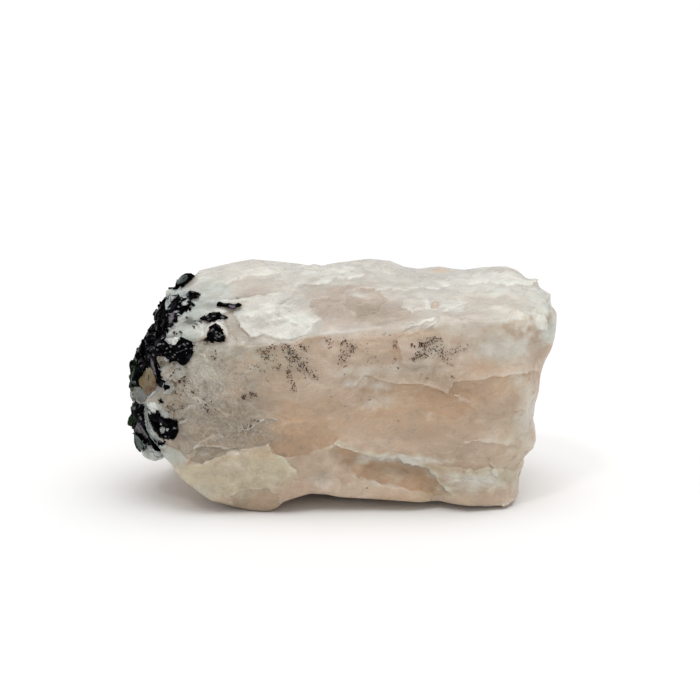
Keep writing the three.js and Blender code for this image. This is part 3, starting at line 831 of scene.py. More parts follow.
# Flat patches with crisp outlines: outline in pixels, how far they stand out in millimetres, tints
PATCHES = [
    ([(148, 403.5), (153, 401.5), (159, 401.8), (159.2, 412.8), (150, 413), (148, 409)],
      0.15, {"frost": 0.95}),
    ([(159.2, 402), (163, 404), (168, 411), (173.5, 415.5), (172.5, 419), (164, 418), (159.2, 412.8)],
      0.05, {"ice": 0.8, "frost": 0.3}),
    ([(145, 404.5), (144, 413), (144.6, 420), (146.5, 427.5), (149.8, 435.4), (154, 441.8),
      (160.8, 450.5), (167, 447), (165, 440), (159, 438), (156, 433), (153, 427), (150.5, 420),
      (149, 413), (149, 404)], 0.0, {"ice": 0.8, "frost": 0.35}),
    ([(230, 302), (246, 300), (262, 296), (278, 286), (296, 284), (305, 292), (308, 304), (321, 312),
      (310, 324), (286, 322), (262, 320), (242, 316)], 0.0, {"frost": 0.25}),
    ([(252, 339), (258, 336.4), (264, 335.4), (271, 337), (280, 340.4), (282, 341.4), (276, 343.6),
      (262, 345), (254, 345)], -0.1, {"cream": 0.45, "dim": 0.15}),
    ([(278, 300.5), (284, 297), (288.6, 297), (287, 300.5), (281, 303)], -0.15, {"dim": 0.35}),
    ([(221, 313), (233, 310), (239, 322), (246, 332), (252, 341), (236, 344), (228, 336)],
      -0.2, {"lilac": 0.6, "dim": 0.25}),
    ([(333, 444), (349, 453), (365, 457), (377, 461), (398, 461.5), (404, 466), (426, 472), (434, 480),
      (439, 488), (449, 497), (430, 497), (412, 491), (395, 485), (373, 481), (358, 476), (349, 465),
      (338, 451)], 0.0, {"stain": 0.95}),
    ([(442, 302), (451, 299), (460, 300), (465, 305), (461, 311), (452, 315), (444, 310)],
      0.1, {"frost": 0.4}),
    ([(228, 498), (238, 491), (252, 488), (268, 488), (277, 492), (283, 499), (280, 512), (236, 513)],
      -0.25, {"stain": 0.6, "dim": 0.5}),
    # a pale bit at the lobe's rim
    ([(288, 467.5), (292, 466.5), (297.5, 470), (298.4, 473.4), (295.6, 473.2), (291.6, 471)],
      0.1, {"milk": 0.3}),
    ([(190, 354), (197, 350), (206, 358), (208, 372), (201, 384), (193, 380)], 0.1, {"cream": 0.45}),
    ([(190.8, 461.2), (189.8, 458.2), (193.9, 455.1), (198, 450), (205, 448), (211, 449), (216, 448),
      (223.5, 450), (228, 452.4), (221.4, 457.1), (211.2, 460.2), (203, 462.8), (195.9, 463.8)],
      -0.1, {"dim": 0.75, "cream": 0.3}),
    ([(410, 394), (428, 387), (444, 391), (452, 400), (470, 404), (478, 414), (452, 420), (430, 412),
      (414, 404)], -0.15, {"stain": 0.4}),
    ([(262, 404), (284, 398), (300, 404), (296, 418), (278, 426), (264, 420)], -0.15, {"stain": 0.4}),
    ([(346, 292), (362, 287), (380, 290), (388, 300), (378, 312), (356, 316), (344, 306)],
      -0.2, {"lilac": 0.5, "dim": 0.2}),
    ([(310, 300), (326, 296), (340, 300), (338, 312), (322, 318), (312, 312)], -0.15, {"lilac": 0.5}),
    ([(404, 300), (418, 294), (430, 297), (428, 306), (412, 312), (402, 308)], 0.2, {"frost": 0.35}),
]

# Soft dabs of tint on the front: place, half width and half height in pixels, and strength
DABS = {
    "blush": [
        ((470, 350), (80, 40), 0.4), ((490, 368), (44, 14), 0.6), ((350, 345), (60, 26), 0.6),
        ((448, 376), (26, 10), 0.5), ((470, 357), (16, 6), 0.6), ((330, 476), (44, 20), 0.5),
    ],
    "stain": [
        ((300, 430), (45, 40), 0.7), ((350, 410), (60, 34), 0.45), ((420, 425), (80, 32), 0.5),
        ((455, 398), (36, 14), 0.6), ((394, 350), (7, 13), 0.6), ((486, 362), (28, 12), 0.55),
        ((254, 440), (46, 22), 0.5), ((236, 418), (26, 14), 0.4), ((462, 402), (20, 9), 0.5),
        ((286, 438), (26, 20), 0.6), ((258, 452), (34, 12), 0.4), ((228, 419), (18, 9), 0.9),
        ((366, 457), (6, 3), 0.7), ((478, 482), (26, 7), 0.4), ((452, 490), (14, 5), 0.4),
        ((266, 432), (30, 26), 0.5), ((478, 366), (24, 10), 0.3), ((400, 497), (46, 7), 0.5),
    ],
    "lilac": [
        ((350, 308), (62, 24), 1.0), ((385, 316), (50, 18), 1.0), ((465, 318), (50, 12), 0.7),
        ((256, 290), (40, 16), 0.6), ((350, 327), (36, 8), 0.6), ((316, 340), (20, 8), 0.5),
        ((340, 290), (60, 14), 0.6), ((318, 344), (14, 6), 0.5),
    ],
    # darker tone, partly painted shade in hollows and below the lobe
    "dim": [
        ((362, 312), (26, 12), 0.35), ((246, 302), (18, 9), 0.35), ((276, 350), (22, 11), 0.5),
        ((300, 326), (10, 5), 0.2), ((250, 436), (50, 22), 0.3), ((375, 316), (34, 14), 0.5),
        ((250, 348), (34, 14), 0.5), ((187, 437), (9, 5), 0.95), ((236, 416), (26, 8), 0.6),
        ((322, 474), (22, 14), 0.6), ((238, 303), (12, 6), 0.5), ((252, 346), (20, 4), 0.4),
        ((180, 408), (30, 30), 0.4), ((172, 392), (16, 20), 0.4), ((176, 363), (12, 8), 0.35),
        ((205, 455), (16, 8), 0.3), ((430, 327), (26, 7), 0.5), ((230, 440), (56, 20), 0.45),
        ((183, 384), (14, 12), 0.55), ((178, 403), (14, 12), 0.7), ((186, 438), (14, 8), 0.9),
        ((512, 313), (15, 5), 0.7), ((384, 323), (22, 4), 0.5), ((322, 330), (14, 4), 0.5),
        ((240, 335), (26, 16), 0.35), ((205, 420), (28, 20), 0.6), ((226, 412), (26, 16), 0.75),
        ((250, 402), (34, 20), 0.6), ((252, 380), (30, 20), 0.4), ((232, 432), (44, 14), 0.5),
        ((262, 440), (30, 16), 0.35), ((176, 424), (12, 24), 0.5), ((186, 362), (26, 22), 0.35),
        ((200, 424), (40, 26), 0.35), ((290, 368), (34, 18), 0.4), ((268, 412), (26, 30), 0.3),
        ((215, 468), (40, 12), 0.3),
    ],
    "ice": [
        ((210, 288), (30, 16), 0.7), ((541, 298), (16, 10), 0.5), ((549, 326), (10, 26), 0.5),
        ((172, 457), (20, 12), 0.7), ((202, 490), (36, 13), 0.5), ((537, 347), (8, 18), 0.5),
        ((533, 400), (7, 50), 0.4), ((196, 308), (22, 18), 0.8), ((222, 302), (16, 10), 0.5),
    ],
    "frost": [
        ((205, 283), (26, 10), 0.3), ((338, 283), (30, 7), 0.4), ((438, 283), (22, 7), 0.4),
        ((497, 308), (15, 6), 0.5), ((376, 386), (16, 7), 0.3), ((410, 458), (50, 6), 0.35),
        ((455, 474), (42, 8), 0.3), ((442, 368), (44, 8), 0.25), ((382, 461), (40, 7), 0.5),
        ((430, 462), (50, 6), 0.4), ((454, 357), (16, 10), 0.3), ((380, 384), (26, 12), 0.4),
        ((362, 296), (30, 7), 0.35), ((225, 308), (12, 8), 0.35), ((204, 279), (16, 6), 0.35),
        ((174, 295), (12, 8), 0.7), ((470, 480), (50, 14), 0.3), ((420, 458), (40, 8), 0.3),
        ((310, 270), (100, 12), 0.35), ((505, 345), (44, 26), 0.25), ((530, 318), (28, 34), 0.4),
        ((490, 282), (50, 18), 0.7), ((330, 270), (60, 8), 0.3), ((330, 480), (30, 14), 0.3),
        ((350, 383), (11, 6), 0.6),
    ],
    "cream": [
        ((400, 288), (30, 10), 0.4), ((186, 478), (26, 18), 0.8), ((262, 364), (36, 24), 0.5),
        ((270, 470), (36, 18), 0.7), ((203, 384), (10, 12), 0.5), ((232, 492), (40, 14), 0.6),
        ((196, 374), (9, 14), 0.7), ((520, 430), (26, 60), 0.5), ((500, 480), (40, 18), 0.5),
        ((230, 480), (60, 26), 0.4), ((430, 466), (90, 18), 0.4), ((350, 484), (24, 8), 0.4),
        ((455, 492), (40, 10), 0.5),
    ],
    "dove": [
        ((338, 342), (20, 8), 0.3), ((262, 366), (36, 24), 0.3), ((205, 365), (44, 34), 0.95),
        ((240, 350), (34, 16), 0.6), ((240, 382), (26, 16), 0.6), ((190, 410), (44, 40), 0.95),
        ((235, 420), (46, 26), 0.7), ((185, 450), (26, 14), 0.8),
    ],
    "milk": [
        ((420, 368), (50, 14), 0.6), ((362, 372), (36, 12), 0.6), ((375, 400), (30, 14), 0.4),
        ((470, 480), (46, 14), 0.8), ((380, 458), (50, 5), 0.6), ((526, 404), (18, 58), 0.8),
        ((500, 346), (48, 22), 1.0), ((522, 320), (34, 18), 0.7), ((460, 330), (30, 10), 0.8),
        ((436, 350), (30, 12), 0.5), ((490, 300), (50, 16), 0.8),
    ],
    "grey_green": [
        ((191, 325), (16, 8), 0.7), ((191, 324), (9, 5), 0.9), ((186, 437), (9, 6), 0.6),
        ((178, 404), (12, 10), 0.3), ((211, 306), (18, 5), 0.42), ((174, 338), (8, 4), 0.6),
        ((138, 396), (9, 9), 1.0),
    ],
    "veined": [
        ((205, 385), (64, 66), 1.0), ((240, 432), (60, 26), 0.8), ((275, 318), (54, 26), 0.55),
        ((300, 276), (90, 14), 0.1), ((430, 320), (40, 16), 0.3), ((240, 480), (60, 30), 0.35),
    ],
    "falling": [
        ((290, 322), (24, 12), 1.0), ((262, 326), (22, 12), 0.35), ((360, 312), (26, 10), 0.5),
        ((498, 306), (26, 8), 0.5), ((388, 300), (12, 7), 0.6), ((430, 425), (110, 50), 0.12),
    ],
    "rising": [
        ((294, 302), (22, 9), 0.9), ((270, 296), (20, 9), 0.4), ((416, 328), (20, 9), 0.9),
        ((240, 428), (50, 22), 0.5), ((345, 272), (40, 8), 0.35),
    ],
}

# Soft dabs on the sides that the photograph doesn't show: place and reach in millimetres, and strength
FAR_DABS = {
    "stain": [
        ((20, 29, 24), (34, 14, 14), 0.75), ((-22, 28, 34), (20, 14, 12), 0.5),
        ((0, 0, 0), (48, 26, 6), 0.5),
    ],
    "cream": [((-30, 27, 14), (22, 14, 14), 0.7), ((54, 6, 12), (10, 24, 12), 0.6)],
    "frost": [
        ((40, 24, 44), (24, 16, 14), 0.8), ((-8, 22, 56), (26, 14, 10), 0.6),
        ((58, 4, 34), (8, 26, 22), 0.5), ((-50, 12, 26), (10, 14, 22), 0.5),
    ],
    "lilac": [((-34, 22, 42), (18, 18, 14), 0.7)],
    "amber": [((-57, 6, 26), (5, 6, 5), 0.7)],
}

# The fields that the stone and its plates carry
TINTS = ("frost", "milk", "stain", "blush", "cream", "lilac", "dim", "dove", "ice", "amber", "resin",
         "grey_green", "veined", "falling", "rising", "soot")


def beside_line(spots, line):
    """Signed distance to a line drawn left to right, positive under it, and distance to its nearer end."""
    line = np.array(line, float)
    lengths = np.linalg.norm(np.diff(line, axis=0), axis=1)
    starts = np.concatenate([[0], np.cumsum(lengths)])
    nearest = np.full(len(spots), 1e9)
    side = np.ones(len(spots))
    walked = np.zeros(len(spots))
    for i, (a, b) in enumerate(zip(line[:-1], line[1:])):
        step = b - a
        rel = spots - a
        t = np.clip(rel @ step / (step @ step), 0, 1)
        gap = np.linalg.norm(rel - t[:, None] * step, axis=1)
        closer = gap < nearest
        nearest = np.where(closer, gap, nearest)
        side = np.where(closer, np.sign(step[0] * rel[:, 1] - step[1] * rel[:, 0]), side)
        walked = np.where(closer, starts[i] + t * lengths[i], walked)
    return nearest * side, np.minimum(walked, starts[-1] - walked)


def is_inside(spots, outline):
    """Which spots lie inside a closed outline."""
    outline = np.array(outline, float)
    found = np.zeros(len(spots), bool)
    for (ax, ay), (bx, by) in zip(outline, np.roll(outline, -1, axis=0)):
        crosses = (ay > spots[:, 1]) != (by > spots[:, 1])
        at = ax + (spots[:, 1] - ay) * (bx - ax) / (by - ay if by != ay else 1e-9)
        found ^= crosses & (spots[:, 0] < at)
    return found


def is_inside_any(spots, outlines):
    """Which spots lie inside any of some closed outlines."""
    return np.any([is_inside(spots, outline) for outline in outlines], axis=0)


def lump_shape(spots, at, reach, turn):
    """1 at the middle of a round form, 0 at its rim, where it meets the rest in a crease."""
    turn = math.radians(turn)
    rel = spots - np.array(at)
    along = rel[:, 0] * math.cos(turn) + rel[:, 1] * math.sin(turn)
    aside = rel[:, 1] * math.cos(turn) - rel[:, 0] * math.sin(turn)
    far = (along / reach[0]) ** 2 + (aside / reach[1]) ** 2
    return np.clip(1 - far, 0, 1)


# How wide a crisp edge is in pixels, and how far noise pushes crisp edges and dabs, in pixels, and
# the dabs on the far sides, in millimetres
CRISP_EDGE = 1.4
EDGE_WANDER = 2.2
DAB_WANDER = 3
FAR_DAB_WANDER = 2

# How many times its reach a dab takes to fade out, and how steeply a round form's tint sets in
DAB_FADE = 1.3
LUMP_RIM = 2.5


def lay(tints, name, amount):
    """Adds a tint over what is there, never past 1."""
    tints[name] = 1 - (1 - tints[name]) * (1 - np.clip(amount, 0, 1))


def lay_dabs(tints, dabs, places, share):
    """Adds soft dabs of tint, each fading out past its reach."""
    for name, marks in dabs.items():
        for at, reach, strength in marks:
            far = np.linalg.norm((places - np.array(at)) / np.array(reach), axis=1)
            lay(tints, name, strength * share * (1 - smooth(far / DAB_FADE)))


def work_front(points, normals):
    """Relief in millimetres and tints of the stone's points, from the forms named above."""
    spots = on_photo(points)
    push = np.stack([
        rough_field(points, 2.6 * MM, seed) + 0.5 * rough_field(points, 1.2 * MM, seed) for seed in (1, 2)
    ], 1)
    ragged = spots + EDGE_WANDER * push
    facing = smooth((normals @ -FORWARD - 0.05) / 0.25)
    well_seen = smooth((normals @ -FORWARD - 0.3) / 0.3)
    relief = np.zeros(len(points))
    tints = {name: np.zeros(len(points)) for name in TINTS}
    for ledge in LEDGES:
        beyond, from_end = beside_line(ragged, ledge["line"])
        held = facing * smooth(from_end / ledge["ends"])
        under = held * smooth(beyond / CRISP_EDGE + 0.5)
        over = held * smooth(-beyond / CRISP_EDGE + 0.5)
        relief += ledge["rise"] * under * (1 - smooth(beyond / ledge["fade"]))
        for side, share, away in (("under", under, beyond), ("over", over, -beyond)):
            for name, (strength, reach) in ledge.get(side, {}).items():
                lay(tints, name, strength * share * (1 - smooth(away / reach)))
    for at, reach, turn, rise, tint in LUMPS:
        shape = well_seen * lump_shape(ragged, at, reach, turn)
        relief += rise * np.sqrt(shape)
        for name, strength in tint.items():
            lay(tints, name, strength * smooth(shape * LUMP_RIM))
    for outline, rise, tint in PATCHES:
        inside = facing * is_inside(ragged, outline)
        relief += rise * inside
        for name, strength in tint.items():
            lay(tints, name, strength * inside)
    lay_dabs(tints, DABS, spots + DAB_WANDER * push, facing)
    lay_dabs(tints, FAR_DABS, points / MM + FAR_DAB_WANDER * push[:, :1], 1 - facing)
    return relief, tints


def bearing(points):
    """0 on the flat sole that the stone rests on, 1 clear of it."""
    return smooth((points[:, 2] / MM - 0.3) / 3)


# The outline of the stone in the photograph, clockwise, behind the crystals where they hide it

STONE_OUTLINE = [
    (176, 288), (181, 284), (189, 279), (194, 275), (200, 270.5), (215, 267), (235, 262.5), (252, 259.5),
    (270, 261), (290, 263), (300, 264), (309, 266), (313, 264), (323, 266), (330, 264), (345, 262),
    (360, 260), (370, 259), (380, 260), (390, 261), (404, 267), (418, 269), (439, 266.5), (453, 269),
    (464, 270), (483, 267.5), (496, 266.7), (506, 266.7), (516, 270), (523.6, 276), (526, 279),
    (531, 279), (537.6, 278), (539, 280), (538, 284), (540, 288), (546.5, 292), (550, 293.4), (551, 297),
    (549.4, 304), (553, 308), (556, 312.5), (556.7, 317), (555.8, 326.5), (554.8, 336), (551, 349.5),
    (546, 358.5), (543, 365.5), (540, 376), (538.6, 391), (537, 397), (534.7, 404), (533.8, 412),
    (532.8, 419), (534.7, 425.6), (535.7, 439), (533.3, 448), (528.4, 452), (523.5, 458), (524.2, 460.7),
    (522.8, 465.6), (519.3, 476), (518.2, 487), (518.2, 494), (515.8, 500), (510, 505.6), (501.8, 508),
    (490, 506), (480, 505.3), (470.9, 506.7), (455, 503.5), (440, 500.4), (420, 502), (388, 499.6),
    (366.7, 498.4), (339.5, 496.8), (326, 494), (310.7, 493.3), (298.8, 496.5), (282.6, 501.8),
    (276.3, 506.7), (263.7, 509.8), (249.6, 507.7), (239, 504.6), (222.5, 502.9), (212.3, 500.7),
    (203.4, 495.3), (188.7, 483.8), (180.4, 477.4), (174.7, 469.7), (170.8, 462.7), (163.6, 456.5),
    (152.6, 460.5), (145.3, 457.5), (141, 453), (144, 446), (143, 438), (139, 428), (139, 418),
    (141, 411), (139, 403.5), (134.5, 402), (131.5, 396), (131.5, 389), (137, 385), (138.5, 376),
    (141, 366), (141, 358), (142.5, 351), (148, 342), (157.5, 333), (157.5, 325), (156, 319), (156, 315),
    (161, 308), (166, 303), (165.5, 297), (166.2, 292), (168.6, 289),
]
# In pixels: how far apart the stops along the outline are, how far in from the rim the stone gives
# way, how far it may be moved, and how far outside the outline its rim is drawn
OUTLINE_STEP = 1.2
OUTLINE_REACH = 14.0
OUTLINE_LIMIT = 6.0
OUTLINE_SPARE = 0.4
OUTLINE_ROUNDS = 2


def fit_outline(points, free):
    """Draws the rim of the stone in or out, so that it shows the outline."""
    corners = np.array(STONE_OUTLINE + STONE_OUTLINE[:1], float)
    walked = np.concatenate([[0], np.cumsum(np.linalg.norm(np.diff(corners, axis=0), axis=1))])
    steps = np.arange(0, walked[-1], OUTLINE_STEP)
    stops = np.stack([np.interp(steps, walked, corners[:, axis]) for axis in (0, 1)], 1)
    tangent = np.roll(stops, -2, axis=0) - np.roll(stops, 2, axis=0)
    tangent /= np.linalg.norm(tangent, axis=1)[:, None]
    outward = np.stack([tangent[:, 1], -tangent[:, 0]], 1)
    stops = stops + OUTLINE_SPARE * outward
    finder = KDTree(len(stops))
    for i, (across, down) in enumerate(stops):
        finder.insert((across, down, 0), i)
    finder.balance()
    for _ in range(OUTLINE_ROUNDS):
        spots = on_photo(points)
        nearest = np.array([finder.find((across, down, 0))[1] for across, down in spots])
        beyond = np.einsum("ij,ij->i", spots - stops[nearest], outward[nearest])
        reach = np.full(len(stops), -OUTLINE_LIMIT)
        np.maximum.at(reach, nearest, beyond)
        reach = np.maximum(reach, np.maximum(np.roll(reach, 1), np.roll(reach, -1)))
        reach = np.clip(reach, -OUTLINE_LIMIT, OUTLINE_LIMIT)
        reach = (np.roll(reach, 1) + 2 * reach + np.roll(reach, -1)) / 4
        share = 1 - smooth((reach[nearest] - beyond) / OUTLINE_REACH)
        points = moved_on_photo(points, -(reach[nearest] * share * free)[:, None] * outward[nearest])
    return points


# The stone's skin: its packed form in even cells, with the crystals' places filled

CRYSTALS = sorted(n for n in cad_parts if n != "quartz")
QUARTZ_CELL = 0.4 * MM
QUARTZ_RELAX = 24
QUARTZ_TRIANGLES = 196000
FILL = 0.4 * MM

# How broken the front is, and how much more so the top, the far side and the ends are
BROKEN_FRONT = 0.33
BROKEN_TOP = -0.1
BROKEN_FAR = 0.67
BROKEN_ENDS = 0.35

# What a point's own bend and the bend around it count for in an edge
OWN_BEND = 0.5
BEND_AROUND = 1.2


def keep_edges(mesh):
    """Stores how far each point stands out of its surroundings, in tenths of a millimetre."""
    points, normals, edges = points_of(mesh), normals_of(mesh), edges_of(mesh)
    bend = np.einsum("ij,ij->i", points - neighbour_mean(points, edges), normals) / (0.1 * MM)
    spread = neighbour_mean(neighbour_mean(bend[:, None], edges), edges)[:, 0]
    keep_field(mesh, "edge", OWN_BEND * bend + BEND_AROUND * spread)


def quartz_skin():
    """The fine skin of the stone, with its forms, its fracture and the fields of its tints."""
    filled = joined_mesh([merged_mesh(["quartz"]), merged_mesh(CRYSTALS, FILL)], "stone_filled")
    skin = even_cells(filled, QUARTZ_CELL, "stone_skin")
    relax(skin, QUARTZ_RELAX)

    points, normals = points_of(skin), normals_of(skin)
    relief, tints = work_front(points, normals)
    free = bearing(points)
    top = smooth((normals[:, 2] - 0.2) / 0.5)
    far_side = smooth(normals[:, 1] / 0.6)
    ends = smooth((np.abs(normals[:, 0]) - 0.3) / 0.5)
    broken = BROKEN_FRONT + BROKEN_TOP * top + BROKEN_FAR * far_side + BROKEN_ENDS * ends
    keep_field(skin, "broken", free * np.clip(broken, 0, 1))
    # the share that faces up, which the quartz paints lighter as painted light from above
    keep_field(skin, "top_facing_painted_light", top)
    for name, values in tints.items():
        keep_field(skin, name, values)
    set_points(skin, points + normals * (relief * free * MM)[:, None])

    skin = worked(skin, fracture, {}, "stone_skin")
    points = points_of(skin)
    set_points_inside(skin, fit_outline(points, bearing(points)))
    keep_edges(skin)
    return skin


fracture = fracture_tree(quartz_finish)
stone = placed("quartz_stone", quartz_skin())


# The tourmaline: each packed crystal is worked finer and grown out to the outlines, in pixels,
# that its part of the black crust has in the photograph, standing so many millimetres proud

GROWTH = {
    "tourmaline_crown": [
        ([(186, 273.6), (191, 273.6), (194.6, 276), (192.2, 279.5), (188.3, 282.7), (183.2, 286.5),
          (178.1, 288.7), (175.6, 286.5), (176.2, 281.4), (179.4, 277.2)], 0.9),
        ([(168.6, 287.8), (176, 287.4), (179, 288.6), (174, 289.4), (168.8, 289.6)], 0.4),
    ],
    "tourmaline_upper_chip": [
        ([(189.6, 291), (194, 291.6), (198.5, 292.6), (200.8, 294.1), (198.5, 297), (193.4, 298.6),
          (190.2, 300.2), (188, 298), (186.4, 294.8)], 0.6),
    ],
    "tourmaline_edge_chip": [
        ([(167.3, 295.7), (169.2, 298), (166, 301.8), (163.5, 300.5)], 0.4),
    ],
    "tourmaline_upper_cluster": [
        ([(179.7, 295.7), (180.7, 298), (178.4, 300.5), (178.8, 303.7), (180.7, 305.6), (183.2, 306.3),
          (186.4, 305.6), (189, 304), (191.5, 306.3), (191.5, 308.8), (189, 312), (185.1, 312),
          (181.3, 313.9), (177.5, 317.1), (176.2, 322.2), (172.4, 326.7), (169.8, 330.5), (168.9, 325.4),
          (167.9, 317.7), (167, 312), (167.3, 307.5), (170.5, 303.7), (174.9, 299.9), (177.5, 297)], 0.6),
    ],
    "tourmaline_end_cluster": [
        ([(162.2, 303.1), (165.4, 303.7), (166.6, 309.5), (167.6, 316.5), (168.9, 325.4), (169.2, 330.5),
          (166.6, 333.7), (166, 338.2), (162.8, 340), (155, 341), (146, 342), (143.9, 340.8),
          (147.3, 334.7), (151.8, 326.2), (154.6, 321.8), (157.6, 318.4), (159, 312.6),
          (160.3, 307.5)], 0.6),
        ([(158.6, 309), (159, 313), (157, 318), (154.4, 317), (153.4, 314.5)], 0.3),
    ],
    "tourmaline_mass": [
        ([(147.5, 335), (152, 334), (157.7, 335), (162.8, 338), (166, 340), (169.2, 343.9), (173, 344.5),
          (174.9, 341.3), (177.5, 339.4), (180.7, 339.4), (185.8, 340), (192.2, 340.7), (192.8, 343.9),
          (194.7, 345.2), (192.8, 348.4), (191.5, 355.4), (189, 359.2), (188.3, 363), (185.8, 365.3),
          (180.7, 364.3), (175.6, 361.1), (172.4, 362.4), (169.2, 363.7), (168.6, 359.8), (166, 356),
          (160.9, 355.4), (157.7, 356.6), (157.1, 361), (160.8, 368.7), (159.8, 372), (162.2, 379.4),
          (164.5, 382.1), (162.9, 386.8), (160.2, 387), (157.5, 385.5), (156.2, 380), (154.8, 375.4),
          (152.8, 370.7), (150.8, 366.7), (147, 369.5), (144.1, 372), (141.4, 372), (136.7, 364),
          (135.7, 356), (137.3, 350.3), (139.9, 345.2), (143.7, 341.3)], 0.7),
        ([(164.9, 385), (167.4, 385.6), (170, 387.4), (168.2, 388.8), (163.2, 389.4)], 0.3),
    ],
    "tourmaline_left_prism": [
        ([(136, 361), (141.4, 364), (144.6, 371), (141.4, 376.7), (138.7, 381.4), (138.7, 386.1),
          (134, 387.5), (130.2, 388.4), (130.7, 382.1), (129.9, 378), (132, 374), (132, 368),
          (132.2, 363)], 0.6),
    ],
    "tourmaline_block": [
        ([(148.1, 412.9), (152.8, 413.2), (158.2, 413.2), (161.5, 415.6), (164.2, 418.3), (168.9, 418.3),
          (172.9, 418.9), (177.6, 420.6), (178.9, 423.6), (178.3, 427.6), (177.6, 431.7), (175.6, 434.3),
          (173.9, 440), (168.9, 439.7), (164.2, 439.7), (159.5, 437.7), (156.8, 433.7), (154.1, 432.3),
          (152.1, 427.6), (150.8, 423), (148.1, 418.3)], 0.8),
    ],
    "tourmaline_low_chip": [
        ([(156.8, 440.6), (165.5, 440.6), (164.9, 444.4), (161.5, 444.1), (160.5, 442)], 0.4),
    ],
    "tourmaline_small_chip": [
        ([(158.2, 399.5), (160.8, 399.2), (163.9, 402.5), (160.2, 403.5)], 0.3),
    ],
    "tourmaline_lower_cluster": [
        ([(141.4, 404.9), (144.1, 403.5), (145.8, 404.9), (144.1, 409.6), (144.1, 415.6), (145.1, 421.6),
          (146.8, 428.3), (148.8, 433.7), (152.8, 438.4), (155.5, 443.7), (160.8, 450.4), (158.8, 452.1),
          (154.1, 449.1), (148.8, 444.1), (143, 440), (136.1, 433.7), (134.4, 431), (135.4, 424.3),
          (134.7, 417.6), (134.2, 412.2), (135.4, 410.9), (138.1, 408.2)], 0.6),
        ([(132.4, 406.2), (134, 403.8), (138.7, 405.5), (136.1, 408.2)], 0.3),
    ],
    "tourmaline_lower_blades": [
        ([(134.4, 430.6), (138, 431), (144.6, 437.6), (149, 442.4), (146.1, 449.1), (140.1, 451.8),
          (136.4, 447.7), (134.6, 442.4)], 0.5),
    ],
    "tourmaline_inset_upper": [
        ([(200.1, 318.4), (203, 316.5), (206.2, 317.1), (209.4, 313.3), (213.2, 311.7), (217.7, 312),
          (219.9, 311.4), (220.4, 313.9), (224.5, 315.6), (228, 317.6), (224.7, 319.6), (218, 319),
          (214.5, 321.6), (210, 322.2), (205.5, 319.7), (201.7, 319.7)], 0.5),
    ],
    "tourmaline_inset_middle": [
        ([(215.4, 323.5), (219.7, 326), (223, 332.8), (226, 337.8), (224.7, 342), (219.7, 342.6),
          (214.6, 341.2), (212, 343.4), (207.8, 341.2), (202.8, 340.9), (207, 337), (207.8, 332.8),
          (209.5, 326.9), (212.9, 325.2)], 0.7),
    ],
    "tourmaline_needle": [
        ([(217, 305.6), (217.6, 303), (219.4, 301.9), (221.6, 302.8), (223.6, 303.8), (228, 303.5),
          (235.6, 304.1), (236.8, 303), (238.6, 302.4), (240.6, 303.4), (242, 304.8), (239.8, 306.2),
          (236.4, 306.8), (235, 308.6), (232, 308.5), (228, 307.8), (224, 306.3), (220, 306.2)], 0.9),
    ],
}

# Faces that catch the light, as outlines in pixels, with a painted sheen: lilac-grey, and teal-grey
PAINTED_SILVER_SHEEN_FACES = [
    [(168.2, 313.4), (174.8, 312.4), (173.2, 318.6), (171.5, 324.4), (170, 329.2), (169.3, 325),
     (168.5, 318)],
    [(150.8, 358), (153, 361), (155.5, 371), (156.9, 379.5), (154.8, 375.4), (152.8, 370.7),
     (150.8, 364)],
    [(134.7, 429), (137.4, 422.3), (141.4, 425.6), (144.8, 431), (148.8, 437), (146.1, 438.4),
     (142.1, 433.7), (136.1, 432.3)],
    [(228.6, 304.9), (235, 305.2), (235, 308), (230, 307.5)],
]
PAINTED_TEAL_SHEEN_FACES = [
    [(176.6, 281.6), (179, 277.8), (183, 275.4), (187, 274.8), (187.6, 278), (185, 281.4), (180.6, 283.4),
     (177.2, 284.6)],
    [(130.9, 381.4), (136, 381), (136, 384.4), (131, 385.4)],
    [(134.9, 435), (138, 436), (142.5, 443), (146.4, 444.4), (146, 448.5), (140.1, 451.4), (136.4, 447.7),
     (134.8, 442.4)],
]
